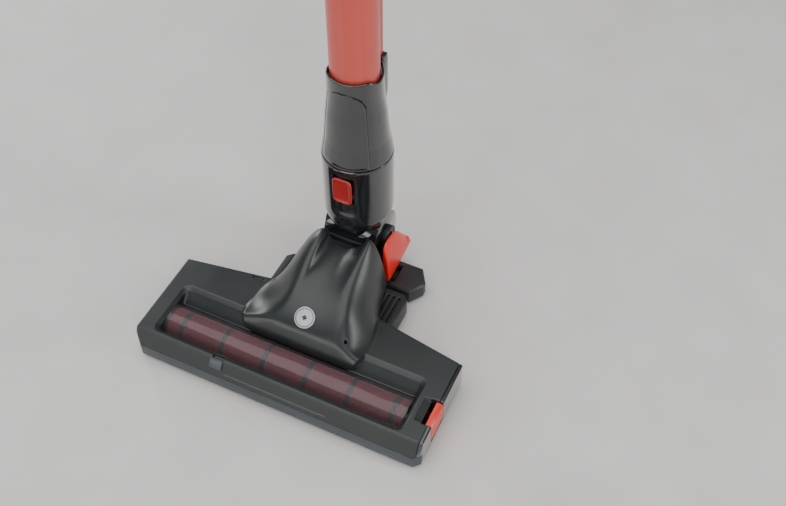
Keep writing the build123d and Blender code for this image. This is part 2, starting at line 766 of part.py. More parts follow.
# ---- Rear block under the tower ----
rib_pitch = 5.0
rib_count = 4
with BuildPart() as rear_block:
    block((-block_half, block_half), (mid_y + 0.5, block_rear), (chassis_floor, block_top))
    chamfer(rear_block.edges().filter_by(Axis.Z).sort_by(Axis.Y)[-2:], length=5.0)
    for side in (-1, 1):
        for index in range(rib_count):
            x = side * (block_half - 7 - rib_pitch * index)
            block((x - 1, x + 1), (mid_y + 6, block_rear - 5), (block_top - 3, block_top + 1),
                  mode=Mode.SUBTRACT)
    block((-cheek_outer - seat_gap, cheek_outer + seat_gap), (mid_y - 1, block_rear + 1),
          (0, chassis_floor + 4), mode=Mode.SUBTRACT)
rear_block.part.label = "rear_block"
export_step(rear_block.part, "parts/rear_block.step")

# ---- Neck bracket: floor rail and the two cheeks that carry the pivot ----
bracket_floor = 3.0
cheek_front = sled_front
cheek_rear = sled_rear - 3.0
bush_wall = 1.5
boss_reach = 9.0
bush_outer = trunnion_radius + slip + bush_wall
cheek_outline = [
    (cheek_front, chassis_floor),
    (cheek_rear, chassis_floor),
    (cheek_rear, sled_top - 3),
    (pivot_y + boss_reach - 1, 38.0),
    (pivot_y + boss_reach, pivot_z),
    (pivot_y, pivot_z + boss_reach),
    (pivot_y - boss_reach, pivot_z),
    (pedal_pin_y - 4, 30.0),
    (cheek_front, 26.0),
]
with BuildPart() as neck_bracket:
    block((-cheek_outer, cheek_outer), (mid_y + 0.6, cheek_rear), (chassis_floor, chassis_floor + bracket_floor))
    for x in (-cheek_outer, cheek_inner):
        side_prism(cheek_outline, x, x + cheek_thickness)
        rod(x, x + cheek_thickness, pivot_y, pivot_z, boss_reach)
    rod(-cheek_outer, cheek_outer, pivot_y, pivot_z, bush_outer, mode=Mode.SUBTRACT)
    rod(-cheek_outer, cheek_outer, pedal_pin_y, pedal_pin_z, pedal_pin_radius, mode=Mode.SUBTRACT)
    rod(-cheek_outer, cheek_outer, wheel_y, wheel_radius, rear_axle_radius, mode=Mode.SUBTRACT)
neck_bracket.part.label = "neck_bracket"
export_step(neck_bracket.part, "parts/neck_bracket.step")

with BuildPart() as pivot_bushes:
    for x in (-cheek_outer, cheek_inner):
        rod(x, x + cheek_thickness, pivot_y, pivot_z, bush_outer)
    rod(-cheek_outer, cheek_outer, pivot_y, pivot_z, trunnion_radius + slip, mode=Mode.SUBTRACT)
pivot_bushes.part.label = "pivot_bushes"
export_step(pivot_bushes.part, "parts/pivot_bushes.step")

# ---- Cradle: fixed shoe that seals the barrel and holds the duct's port ----
cradle_half = barrel_half + 0.2
port_width_half = 17.4
with BuildPart() as neck_cradle:
    rod(-cradle_half, cradle_half, pivot_y, pivot_z, cradle_outer)
    pivot_wedge(168, 292, cradle_half + 1, Mode.INTERSECT)
    rod(-cradle_half, cradle_half, pivot_y, pivot_z, cradle_inner, mode=Mode.SUBTRACT)
    pivot_wedge(port_start, port_end, port_width_half, Mode.SUBTRACT)
neck_cradle.part.label = "neck_cradle"
export_step(neck_cradle.part, "parts/neck_cradle.step")

# ---- Rear sled around the bracket, with the wheel wells ----
well_gap = 1.5
with BuildPart() as rear_sled:
    plan_prism(
        [
            (sled_left, sled_front + 6),
            (sled_left + 5, sled_front),
            (sled_right - 8, sled_front),
            (sled_right, sled_front + 12),
            (sled_right, sled_rear - 13),
            (sled_right - 8, sled_rear),
            (sled_left + 5, sled_rear),
            (sled_left, sled_rear - 6),
        ],
        chassis_floor, sled_top)
    chamfer(rear_sled.edges().group_by(Axis.Z)[-1], length=1.5)
    block((-cheek_outer - seat_gap, cheek_outer + seat_gap), (sled_front - 1, cheek_rear + seat_gap),
          (0, chassis_floor + bracket_floor + seat_gap), mode=Mode.SUBTRACT)
    for side in (-1, 1):
        inner = side * (cheek_inner - seat_gap)
        outer = side * (wheel_x + wheel_width / 2 + 1)
        block(sorted((inner, side * (cheek_outer + seat_gap))), (sled_front - 1, cheek_rear + seat_gap),
              (0, sled_top + 1), mode=Mode.SUBTRACT)
        block(sorted((inner, outer)), (wheel_y - wheel_radius - well_gap, wheel_y + wheel_radius + well_gap),
              (0, sled_top + 1), mode=Mode.SUBTRACT)
    rod(sled_left + 1.5, wheel_x + wheel_width, wheel_y, wheel_radius, rear_axle_radius, mode=Mode.SUBTRACT)
rear_sled.part.label = "rear_sled"
export_step(rear_sled.part, "parts/rear_sled.step")

# ---- Axles ----
with BuildPart() as rear_axle:
    rod(sled_left + 1.5, wheel_x + wheel_width, wheel_y, wheel_radius, rear_axle_radius)
rear_axle.part.label = "rear_axle"
export_step(rear_axle.part, "parts/rear_axle.step")

with BuildPart() as roller_axles:
    for side in (-1, 1):
        x = side * roller_x
        rod(x - roller_width / 2 - roller_well - 2, x + roller_width / 2 + roller_well + 2,
            roller_y, roller_radius, roller_axle_radius)
roller_axles.part.label = "roller_axles"
export_step(roller_axles.part, "parts/roller_axles.step")

# ---- Rear wheels with their tyres, and the front rollers ----
for side, word in ((-1, "left"), (1, "right")):
    centre = side * wheel_x
    with BuildPart() as wheel:
        rod(centre - wheel_width / 2, centre + wheel_width / 2, wheel_y, wheel_radius,
            wheel_radius - tyre_thickness)
        rod(centre - wheel_width / 2, centre + wheel_width / 2, wheel_y, wheel_radius,
            rear_axle_radius + slip, mode=Mode.SUBTRACT)
    wheel.part.label = f"rear_wheel_{word}"
    export_step(wheel.part, f"parts/rear_wheel_{word}.step")

    with BuildPart() as tyre:
        rod(centre - wheel_width / 2, centre + wheel_width / 2, wheel_y, wheel_radius, wheel_radius)
        fillet(tyre.edges(), radius=1.0)
        rod(centre - wheel_width / 2, centre + wheel_width / 2, wheel_y, wheel_radius,
            wheel_radius - tyre_thickness, mode=Mode.SUBTRACT)
    tyre.part.label = f"rear_tyre_{word}"
    export_step(tyre.part, f"parts/rear_tyre_{word}.step")

    with BuildPart() as roller:
        x = side * roller_x
        rod(x - roller_width / 2, x + roller_width / 2, roller_y, roller_radius, roller_radius)
        fillet(roller.edges(), radius=1.0)
        rod(x - roller_width / 2, x + roller_width / 2, roller_y, roller_radius,
            roller_axle_radius + slip, mode=Mode.SUBTRACT)
    roller.part.label = f"front_roller_{word}"
    export_step(roller.part, f"parts/front_roller_{word}.step")

# ---- Foot pedal, its pin and its spring ----
flank_inner = pedal_half - flank_thickness
lip_front = pedal_rear - lip_depth
web_half = cheek_inner - 2.0
flank_foot = [
    (pedal_pin_y - 5, pedal_pin_z - 3),
    (pedal_pin_y + 6, pedal_pin_z - 3.5),
    (pedal_rear - 6, lip_low - 3.5),
    (pedal_rear, lip_low),
]
# high wing on the right, low arm on the left
wing_outline = flank_foot + [
    (pedal_rear - 3, lip_top - 3),
    (pivot_y + 13, pivot_z - 6.5),
    (pivot_y + 9, pivot_z - 1),
    (pivot_y, pivot_z + 6),
    (pedal_pin_y + 1, pivot_z + 8),
    (pedal_pin_y - 5, pivot_z),
]
arm_outline = flank_foot + [
    (pedal_rear - 1, lip_top - 1),
    (lip_front, lip_top),
    (pedal_pin_y + 6, pedal_pin_z + 6),
    (pedal_pin_y - 5, pedal_pin_z + 5),
]
web_outline = [
    (pedal_pin_y, pedal_pin_z - 3),
    (pedal_pin_y + 8, pedal_pin_z - 1),
    (lip_front + 3, lip_low - 1),
    (lip_front + 3, lip_low + 1),
    (pivot_y + 9, pivot_z - cradle_outer - 1.1),
    (pedal_pin_y, pedal_pin_z + 3),
]
saddle_radius = (web_half ** 2 + saddle_drop ** 2) / (2 * saddle_drop)
with BuildPart() as pedal:
    block((-pedal_half, pedal_half), (lip_front, pedal_rear), (lip_low, lip_top))
    fillet(pedal.edges().filter_by(Axis.X).group_by(Axis.Y)[-1], radius=1.5)
    side_prism(arm_outline, -pedal_half, -flank_inner)
    side_prism(wing_outline, flank_inner, pedal_half)
    side_prism(web_outline, -web_half, web_half)
    rod(-web_half, web_half, pedal_pin_y, pedal_pin_z, pedal_pin_radius + 2.5)
    # saddle that clears the knuckle and the leaning wand
    with BuildSketch(Plane.XZ.offset(-lip_front + 3)) as saddle:
        with Locations((0, lip_top - saddle_drop + saddle_radius)):
            Circle(saddle_radius)
    extrude(saddle.sketch, amount=-lip_depth - 6, mode=Mode.SUBTRACT)
    rod(-flank_inner + 0.5, flank_inner - 0.5, pivot_y, pivot_z, cradle_outer + 0.8, mode=Mode.SUBTRACT)
    rod(-pedal_half, pedal_half, pedal_pin_y, pedal_pin_z, pedal_pin_radius + slip, mode=Mode.SUBTRACT)
    block((-7, 7), (pedal_pin_y - 6, pedal_pin_y + 7), (pedal_pin_z - 7, pedal_pin_z + 7), mode=Mode.SUBTRACT)
pedal.part.label = "pedal"
export_step(pedal.part, "parts/pedal.step")

with BuildPart() as pedal_pin:
    rod(-pedal_half, pedal_half, pedal_pin_y, pedal_pin_z, pedal_pin_radius)
pedal_pin.part.label = "pedal_pin"
export_step(pedal_pin.part, "parts/pedal_pin.step")

with BuildPart() as pedal_spring:
    coil((-5.5, pedal_pin_y, pedal_pin_z), (1, 0, 0), pedal_pin_radius + 1.6, 0.5, 11.0, 6)
pedal_spring.part.label = "pedal_spring"
export_step(pedal_spring.part, "parts/pedal_spring.step")

# ---- Knuckle: hollow barrel on two trunnions, with the upright spigot ----
spigot_top = swivel_top + 3.5
slot_start = 213.0
slot_end = 285.0
slot_half = 17.0
with BuildPart() as knuckle:
    rod(-barrel_half, barrel_half, pivot_y, pivot_z, barrel_radius)
    around_wand(pivot_z, spigot_top, spigot_radius, 0)
    rod(-barrel_half + barrel_wall, barrel_half - barrel_wall, pivot_y, pivot_z,
        barrel_radius - barrel_wall, mode=Mode.SUBTRACT)
    around_wand(pivot_z, spigot_top, spigot_radius - spigot_wall, 0, mode=Mode.SUBTRACT)
    pivot_wedge(slot_start, slot_end, slot_half, Mode.SUBTRACT)
    for x_from, x_to in ((-cheek_outer, -barrel_half), (barrel_half, cheek_outer)):
        rod(x_from, x_to, pivot_y, pivot_z, trunnion_radius)
knuckle.part.label = "knuckle"
export_step(knuckle.part, "parts/knuckle.step")

with BuildPart() as swivel_ring:
    around_wand(swivel_top + free_gap, swivel_top + free_gap + 2.4, spigot_radius + 2.7, spigot_radius)
swivel_ring.part.label = "swivel_ring"
export_step(swivel_ring.part, "parts/swivel_ring.step")

# ---- Collar: shell, liner and contact socket ----
step_z = collar_base + 9.8
foot_bore = collar_foot_radius - collar_wall
button_half = 8.5
button_low = 113.5
button_high = 140.5
cut_rise = 0.6  # slope of the foot's oblique cut
pin_spread = 3.0
pin_back = 17.0
pin_radius = 1.0
plug_foot = collar_top - plug_depth
collar_flat = pivot_y - collar_radius + 1.0

with BuildPart() as collar_shell:
    wand_turned([
        (foot_bore, collar_base),
        (collar_foot_radius, collar_base),
        (collar_radius, collar_base + 8),
        (collar_radius, collar_top),
        (collar_radius - collar_wall, collar_top),
        (collar_radius - collar_wall, step_z),
        (foot_bore, step_z),
    ])
    diagonal = Vector(-cut_rise / sqrt(2), -cut_rise / sqrt(2), 1)
    split(bisect_by=Plane(origin=(3, pivot_y + 3, collar_base), z_dir=diagonal), keep=Keep.TOP)
    block((-14, 14), (0, collar_flat), (button_low - 7, button_high + 5), mode=Mode.SUBTRACT)
    block((-button_half - free_gap, button_half + free_gap), (0, pivot_y),
          (button_low - free_gap, button_high + free_gap), mode=Mode.SUBTRACT)
collar_shell.part.label = "collar_shell"
export_step(collar_shell.part, "parts/collar_shell.step")

with BuildPart() as collar_liner:
    ring_bore = spigot_radius + slip
    wand_turned([
        (ring_bore, swivel_base),
        (foot_bore - seat_gap, swivel_base),
        (foot_bore - seat_gap, step_z + seat_gap),
        (liner_outer, step_z + seat_gap),
        (liner_outer, collar_top - 0.6),
        (liner_inner, collar_top - 0.6),
        (liner_inner, swivel_top),
        (ring_bore, swivel_top),
    ])
    block((-button_half - free_gap, button_half + free_gap), (0, pivot_y),
          (button_low - free_gap, button_high + free_gap), mode=Mode.SUBTRACT)
collar_liner.part.label = "collar_liner"
export_step(collar_liner.part, "parts/collar_liner.step")

with BuildPart() as contact_socket:
    block((-7, 7), (pivot_y + pin_back - 4, pivot_y + pin_back + 6), (spigot_top + 0.6, plug_foot - free_gap))
    for side in (-1, 1):
        post(side * pin_spread, pivot_y + pin_back, 0, collar_top, pin_radius + 0.3, mode=Mode.SUBTRACT)
contact_socket.part.label = "contact_socket"
export_step(contact_socket.part, "parts/contact_socket.step")

# ---- Release button in the collar and the catch that it pushes ----
button_face = pivot_y - collar_radius - 0.8
button_back = button_face + 2.8
tongue_end = pivot_y - plug_radius - 0.2
tongue_half = 4.6
tongue_margin = 7.0
catch_face = pivot_y - sqrt(plug_radius ** 2 - tongue_half ** 2) + 0.1
catch_depth = 4.2
with BuildPart() as release_button:
    block((-button_half, button_half), (button_face, button_back), (button_low, button_high))
    fillet(release_button.edges().filter_by(Axis.Y), radius=2.0)
    chamfer(release_button.edges().group_by(Axis.Y)[0], length=0.8)
    block((-tongue_half, tongue_half), (button_back, tongue_end),
          (button_low + tongue_margin, button_high - tongue_margin))
release_button.part.label = "release_button"
export_step(release_button.part, "parts/release_button.step")

with BuildPart() as wand_catch:
    block((-tongue_half, tongue_half), (catch_face, catch_face + catch_depth),
          (button_low + tongue_margin, button_high - tongue_margin))
wand_catch.part.label = "wand_catch"
export_step(wand_catch.part, "parts/wand_catch.step")

# ---- Wand fitting: plug, flared body and rear spine ----
shoulder = collar_top + 0.3
flare_radius = collar_radius - 0.25
bore_step = tube_foot - 8.0
tube_inner = tube_radius - tube_wall
spine_top = fitting_top - 1.0
panel_half = 19.0
panel_low = 152.0
panel_high = 222.0
panel_thickness = 1.4
seal_low = plug_foot + 4.0
seal_high = seal_low + 2.4
seal_depth = 1.2


def fitting_outline(inset):
    return [
        (flare_radius - inset, shoulder),
        (flare_radius - 0.4 - inset, shoulder + 15),
        (fitting_neck_radius - inset, fitting_neck_z),
        (fitting_top_radius - inset, fitting_top),
    ]


with BuildPart() as wand_panel:
    wand_turned([(0, shoulder)] + fitting_outline(0) + [(0, fitting_top)])
    wand_turned([(0, shoulder)] + fitting_outline(panel_thickness) + [(0, fitting_top)], mode=Mode.SUBTRACT)
    block((-panel_half, panel_half), (0, pivot_y), (panel_low, panel_high), mode=Mode.INTERSECT)
wand_panel.part.label = "wand_panel"
export_step(wand_panel.part, "parts/wand_panel.step")

with BuildPart() as panel_seat:
    wand_turned([(0, shoulder)] + fitting_outline(-1) + [(0, fitting_top)])
    wand_turned([(0, shoulder)] + fitting_outline(panel_thickness + seat_gap) + [(0, fitting_top)],
                mode=Mode.SUBTRACT)
    block((-panel_half - seat_gap, panel_half + seat_gap), (0, pivot_y),
          (panel_low - seat_gap, panel_high + seat_gap), mode=Mode.INTERSECT)


def tube_space(z_from, z_to, grow, mode):
    # round tube with its rear channel, grown by a clearance
    around_wand(z_from, z_to, tube_radius + grow, 0, mode=mode)
    block((-rib_half - grow, rib_half + grow), (pivot_y, pivot_y + rib_reach + grow), (z_from, z_to), mode=mode)


with BuildPart() as wand_fitting:
    wand_turned(
        [(0, plug_foot), (plug_radius, plug_foot), (plug_radius, shoulder)]
        + fitting_outline(0) + [(0, fitting_top)])
    block((-spine_half, spine_half), (pivot_y, pivot_y + spine_reach - 0.1), (shoulder, spine_top))
    chamfer(wand_fitting.edges().filter_by(Axis.X).group_by(Axis.Z)[-1].sort_by(Axis.Y)[-1], length=4.0)
    wand_turned([
        (0, plug_foot),
        (plug_radius - plug_wall, plug_foot),
        (plug_radius - plug_wall, bore_step - 8),
        (tube_inner + 0.4, bore_step),
        (tube_inner + 0.4, tube_foot),
        (0, tube_foot),
    ], mode=Mode.SUBTRACT)
    tube_space(tube_foot, fitting_top + 1, slip, Mode.SUBTRACT)
    add(panel_seat.part, mode=Mode.SUBTRACT)
    block((-tongue_half - free_gap, tongue_half + free_gap), (0, pivot_y),
          (button_low + tongue_margin - free_gap, button_high - tongue_margin + free_gap), mode=Mode.SUBTRACT)
    around_wand(seal_low, seal_high, plug_radius + 1, plug_radius - seal_depth, mode=Mode.SUBTRACT)
wand_fitting.part.label = "wand_fitting"
export_step(wand_fitting.part, "parts/wand_fitting.step")

# ---- Seal, contact block and pins on the plug ----
with BuildPart() as plug_seal:
    around_wand(seal_low, seal_high, liner_inner - 0.02, plug_radius - seal_depth)
plug_seal.part.label = "plug_seal"
export_step(plug_seal.part, "parts/plug_seal.step")

with BuildPart() as contact_block:
    block((-5.5, 5.5), (pivot_y + pin_back - 3.5, pivot_y + pin_back + 2.6), (plug_foot, plug_foot + 10))
    for side in (-1, 1):
        post(side * pin_spread, pivot_y + pin_back, 0, collar_top, pin_radius, mode=Mode.SUBTRACT)
contact_block.part.label = "contact_block"
export_step(contact_block.part, "parts/contact_block.step")

with BuildPart() as contact_pins:
    for side in (-1, 1):
        post(side * pin_spread, pivot_y + pin_back, spigot_top + 1.2, plug_foot + 10, pin_radius)
contact_pins.part.label = "contact_pins"
export_step(contact_pins.part, "parts/contact_pins.step")

# ---- Wand tube with the rear channel for its leads ----
rib_skin = 1.2
with BuildPart() as wand_tube:
    around_wand(tube_foot, wand_top, tube_radius, 0)
    block((-rib_half, rib_half), (pivot_y, pivot_y + rib_reach), (tube_foot, wand_top))
    block((-rib_half + rib_skin, rib_half - rib_skin), (pivot_y, pivot_y + rib_reach - rib_skin),
          (tube_foot - 1, wand_top + 1), mode=Mode.SUBTRACT)
    around_wand(tube_foot, wand_top, tube_radius, 0)
    around_wand(tube_foot - 1, wand_top + 1, tube_inner, 0, mode=Mode.SUBTRACT)
wand_tube.part.label = "wand_tube"
export_step(wand_tube.part, "parts/wand_tube.step")
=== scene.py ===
import bpy
import bmesh
import json
import math
from mathutils import Matrix, Vector


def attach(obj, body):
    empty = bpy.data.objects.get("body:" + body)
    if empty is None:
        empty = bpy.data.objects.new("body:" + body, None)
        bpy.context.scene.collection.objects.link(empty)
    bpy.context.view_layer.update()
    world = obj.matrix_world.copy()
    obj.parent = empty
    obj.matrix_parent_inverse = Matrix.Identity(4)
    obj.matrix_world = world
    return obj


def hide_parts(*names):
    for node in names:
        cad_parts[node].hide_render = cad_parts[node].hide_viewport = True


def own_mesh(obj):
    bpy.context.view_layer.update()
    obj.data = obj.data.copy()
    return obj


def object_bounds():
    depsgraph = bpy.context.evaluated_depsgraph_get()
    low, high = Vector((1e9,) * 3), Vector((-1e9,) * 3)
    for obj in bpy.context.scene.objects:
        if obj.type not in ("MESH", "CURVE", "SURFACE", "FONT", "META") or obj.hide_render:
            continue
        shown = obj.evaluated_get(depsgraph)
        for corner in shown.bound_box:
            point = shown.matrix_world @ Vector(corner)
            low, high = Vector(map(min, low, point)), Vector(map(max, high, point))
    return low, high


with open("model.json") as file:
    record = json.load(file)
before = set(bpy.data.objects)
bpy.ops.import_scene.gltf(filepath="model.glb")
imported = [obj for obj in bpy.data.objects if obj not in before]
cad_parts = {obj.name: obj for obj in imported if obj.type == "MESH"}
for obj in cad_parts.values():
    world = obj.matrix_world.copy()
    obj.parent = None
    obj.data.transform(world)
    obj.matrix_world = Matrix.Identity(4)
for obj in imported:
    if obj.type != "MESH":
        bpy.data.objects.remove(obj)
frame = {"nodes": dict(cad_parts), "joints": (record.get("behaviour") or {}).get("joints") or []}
cadLow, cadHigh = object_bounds()
mm = 0.001  # sizes below are in millimetres where they carry this factor

jointAt = {joint["name"]: joint for joint in frame["joints"]}
wandY = jointAt["neck_tilt"]["pos_m"][1] / mm
rollY = jointAt["brush_spin"]["pos_m"][1] / mm
rollZ = jointAt["brush_spin"]["pos_m"][2] / mm
frontY = cadLow.y / mm
halfLength = cadHigh.x / mm
headTop = 31.0
far = 200  # beyond every piece of the head, for tools that cut right through
print("frame loaded", len(frame["nodes"]), "nodes")


# finishes
def startFinish(name):
    finish = bpy.data.materials.new(name)
    finish.use_nodes = True
    nodes = finish.node_tree.nodes
    links = finish.node_tree.links
    return finish, nodes, links, nodes["Principled BSDF"]


def addNoise(nodes, links, scale, detail=4.0, stretch=(1, 1, 1)):
    place = nodes.new("ShaderNodeTexCoord")
    mapping = nodes.new("ShaderNodeMapping")
    mapping.inputs["Scale"].default_value = stretch
    noise = nodes.new("ShaderNodeTexNoise")
    noise.inputs["Scale"].default_value = scale
    noise.inputs["Detail"].default_value = detail
    links.new(place.outputs["Object"], mapping.inputs["Vector"])
    links.new(mapping.outputs["Vector"], noise.inputs["Vector"])
    return noise


def blendColours(nodes, links, factor, low, high):
    mix = nodes.new("ShaderNodeMix")
    mix.data_type = "RGBA"
    mix.inputs["A"].default_value = (*low, 1)
    mix.inputs["B"].default_value = (*high, 1)
    links.new(factor, mix.inputs["Factor"])
    return mix.outputs["Result"]


def spread(nodes, links, source, low, high, start=0.3, end=0.7):
    span = nodes.new("ShaderNodeMapRange")
    span.inputs["From Min"].default_value = start
    span.inputs["From Max"].default_value = end
    span.inputs["To Min"].default_value = low
    span.inputs["To Max"].default_value = high
    links.new(source, span.inputs["Value"])
    return span.outputs["Result"]


def moulded(name, look):
    # moulded or lacquered surface: slow tone drift, fine grain, worn pale edges
    finish, nodes, links, shader = startFinish(name)
    drift = addNoise(nodes, links, look.get("driftScale", 14), 3)
    tone = spread(nodes, links, drift.outputs["Fac"], 0, 1)
    base = blendColours(nodes, links, tone, look["dark"], look["light"])
    if look.get("wear", 0) > 0:
        edge = nodes.new("ShaderNodeNewGeometry")
        worn = spread(nodes, links, edge.outputs["Pointiness"], 0, look["wear"], 0.53, 0.6)
        mix = nodes.new("ShaderNodeMix")
        mix.data_type = "RGBA"
        mix.inputs["B"].default_value = (*look["edge"], 1)
        links.new(worn, mix.inputs["Factor"])
        links.new(base, mix.inputs["A"])
        base = mix.outputs["Result"]
    links.new(base, shader.inputs["Base Color"])
    smudge = addNoise(nodes, links, look.get("smudgeScale", 45), 5)
    rough = look["rough"]
    links.new(spread(nodes, links, smudge.outputs["Fac"], rough[0], rough[1]), shader.inputs["Roughness"])
    grain = addNoise(nodes, links, look.get("grainScale", 2600), 2, look.get("stretch", (1, 1, 1)))
    bump = nodes.new("ShaderNodeBump")
    bump.inputs["Strength"].default_value = look.get("grain", 0.1)
    bump.inputs["Distance"].default_value = 0.0002
    links.new(grain.outputs["Fac"], bump.inputs["Height"])
    links.new(bump.outputs["Normal"], shader.inputs["Normal"])
    shader.inputs["Metallic"].default_value = look.get("metal", 0)
    shader.inputs["Coat Weight"].default_value = look.get("coat", 0)
    shader.inputs["Coat Roughness"].default_value = look.get("coatRough", 0.05)
    shader.inputs["Specular IOR Level"].default_value = look.get("shine", 0.5)
    return finish


def pile(name, look):
    # short woven or brushed pile with fine upright fibres
    finish, nodes, links, shader = startFinish(name)
    tuft = addNoise(nodes, links, 900, 4, look.get("stretch", (1, 1, 1)))
    tone = spread(nodes, links, tuft.outputs["Fac"], 0, 1)
    base = blendColours(nodes, links, tone, look["dark"], look["light"])
    links.new(base, shader.inputs["Base Color"])
    bump = nodes.new("ShaderNodeBump")
    bump.inputs["Strength"].default_value = 0.8
    bump.inputs["Distance"].default_value = 0.0006
    links.new(tuft.outputs["Fac"], bump.inputs["Height"])
    links.new(bump.outputs["Normal"], shader.inputs["Normal"])
    shader.inputs["Roughness"].default_value = 0.75
    shader.inputs["Sheen Weight"].default_value = look.get("sheen", 0.6)
    shader.inputs["Sheen Roughness"].default_value = 0.4
    shader.inputs["Sheen Tint"].default_value = (*look["sheenTint"], 1)
    return finish


def clearPlastic(name, look):
    finish, nodes, links, shader = startFinish(name)
    haze = addNoise(nodes, links, 30, 4)
    base = blendColours(nodes, links, haze.outputs["Fac"], look["dark"], look["light"])
    links.new(base, shader.inputs["Base Color"])
    links.new(spread(nodes, links, haze.outputs["Fac"], 0.03, 0.1), shader.inputs["Roughness"])
    ripple = nodes.new("ShaderNodeBump")
    ripple.inputs["Strength"].default_value = 0.05
    ripple.inputs["Distance"].default_value = 0.001
    links.new(haze.outputs["Fac"], ripple.inputs["Height"])
    links.new(ripple.outputs["Normal"], shader.inputs["Normal"])
    shader.inputs["Alpha"].default_value = look["alpha"]
    shader.inputs["IOR"].default_value = 1.5
    shader.inputs["Coat Weight"].default_value = 0.6
    return finish


coverBlack = moulded("cover satin black", {
    "dark": (0.015, 0.0185, 0.018), "light": (0.022, 0.0265, 0.026), "rough": (0.28, 0.38),
    "wear": 0.6, "edge": (0.11, 0.12, 0.125), "grain": 0.12, "grainScale": 3200,
    "coat": 0.15, "coatRough": 0.3,
})
towerBlack = moulded("piano black", {
    "dark": (0.008, 0.009, 0.01), "light": (0.014, 0.015, 0.017), "rough": (0.1, 0.2),
    "wear": 0.35, "edge": (0.06, 0.065, 0.07), "grain": 0.03, "coat": 1.0, "coatRough": 0.04,
})
bumperGrey = moulded("bumper slate grey", {
    "dark": (0.034, 0.041, 0.046), "light": (0.047, 0.056, 0.063), "rough": (0.35, 0.5),
    "wear": 0.5, "edge": (0.16, 0.18, 0.2), "grain": 0.2,
})
chassisBlack = moulded("chassis matt black", {
    "dark": (0.014, 0.016, 0.017), "light": (0.026, 0.028, 0.03), "rough": (0.4, 0.58),
    "wear": 0.5, "edge": (0.09, 0.095, 0.1), "grain": 0.3, "grainScale": 1800,
})
signalRed = moulded("signal red", {
    "dark": (0.74, 0.012, 0.005), "light": (0.84, 0.022, 0.009), "rough": (0.28, 0.4),
    "wear": 0.4, "edge": (1.0, 0.24, 0.16), "grain": 0.06, "coat": 0.15, "coatRough": 0.16,
})
buttonRed = moulded("button deep red", {
    "dark": (0.36, 0.012, 0.01), "light": (0.46, 0.02, 0.016), "rough": (0.28, 0.4),
    "wear": 0.5, "edge": (0.8, 0.15, 0.12), "grain": 0.08, "coat": 0.3, "coatRough": 0.15,
})
wandRed = moulded("wand red lacquer", {
    "dark": (0.5, 0.022, 0.012), "light": (0.6, 0.036, 0.02), "rough": (0.3, 0.4), "metal": 0.2,
    "wear": 0.3, "edge": (0.75, 0.25, 0.2), "grain": 0.12, "grainScale": 5200,
    "coat": 0.25, "coatRough": 0.16,
})
badgeSilver = moulded("badge brushed silver", {
    "dark": (0.5, 0.52, 0.53), "light": (0.68, 0.7, 0.71), "rough": (0.28, 0.42), "metal": 0.85,
    "grain": 0.25, "grainScale": 900, "stretch": (1, 14, 1),
})
steelGrey = moulded("drawn steel", {
    "dark": (0.42, 0.42, 0.43), "light": (0.56, 0.56, 0.57), "rough": (0.22, 0.36), "metal": 1.0,
    "grain": 0.2, "grainScale": 700, "stretch": (12, 1, 1),
})
brassGold = moulded("turned brass", {
    "dark": (0.62, 0.44, 0.18), "light": (0.76, 0.57, 0.27), "rough": (0.25, 0.4), "metal": 1.0, "grain": 0.1,
})
rubberBlack = moulded("soft rubber", {
    "dark": (0.01, 0.01, 0.01), "light": (0.02, 0.02, 0.021), "rough": (0.6, 0.75),
    "wear": 0.5, "edge": (0.06, 0.06, 0.06), "grain": 0.5, "grainScale": 1500, "shine": 0.3,
})
boardGreen = moulded("board green", {
    "dark": (0.015, 0.1, 0.04), "light": (0.03, 0.17, 0.07), "rough": (0.3, 0.5), "grain": 0.2, "coat": 0.3,
})
fleeceBurgundy = pile("fleece burgundy", {
    "dark": (0.16, 0.018, 0.03), "light": (0.42, 0.06, 0.09), "sheenTint": (0.95, 0.6, 0.65), "sheen": 0.8,
})
bristleDark = pile("bristle dark", {
    "dark": (0.02, 0.024, 0.026), "light": (0.07, 0.08, 0.085), "sheenTint": (0.7, 0.75, 0.78), "sheen": 0.5,
    "stretch": (3, 1, 1),
})
lintRed = pile("lint pile", {
    "dark": (0.2, 0.012, 0.015), "light": (0.4, 0.03, 0.03), "sheenTint": (0.9, 0.5, 0.5),
})
windowSmoke = clearPlastic("window smoke", {
    "dark": (0.1, 0.085, 0.09), "light": (0.14, 0.12, 0.125), "alpha": 0.3,
})
print("finishes made")


# shaping helpers
def newPiece(name, bm, finish, body, smoothAngle=35):
    mesh = bpy.data.meshes.new(name)
    bm.normal_update()
    bm.to_mesh(mesh)
    bm.free()
    piece = bpy.data.objects.new(name, mesh)
    bpy.context.scene.collection.objects.link(piece)
    mesh.materials.append(finish)
    smoothPiece(piece, smoothAngle)
    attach(piece, body)
    return piece


def smoothPiece(piece, angle):
    for face in piece.data.polygons:
        face.use_smooth = True
    piece.data.set_sharp_from_angle(angle=math.radians(angle))


def addPrism(bm, outline, low, high, plane="xy"):
    # closed prism from an outline; plane xy stands on z, plane yz runs along x
    rings = []
    for level in (low, high):
        ring = []
        for a, b in outline:
            place = {"xy": (a, b, level), "yz": (level, a, b), "xz": (a, level, b)}[plane]
            ring.append(bm.verts.new([v * mm for v in place]))
        rings.append(ring)
    bm.faces.new(rings[0][::-1])
    bm.faces.new(rings[1])
    count = len(outline)
    for i in range(count):
        j = (i + 1) % count
        bm.faces.new((rings[0][i], rings[0][j], rings[1][j], rings[1][i]))
    bmesh.ops.recalc_face_normals(bm, faces=bm.faces)


def easeStep(value, low, high):
    t = min(1.0, max(0.0, (value - low) / (high - low)))
    return t * t * (3 - 2 * t)


def boxOutline(x0, x1, y0, y1):
    return [(x0, y0), (x1, y0), (x1, y1), (x0, y1)]


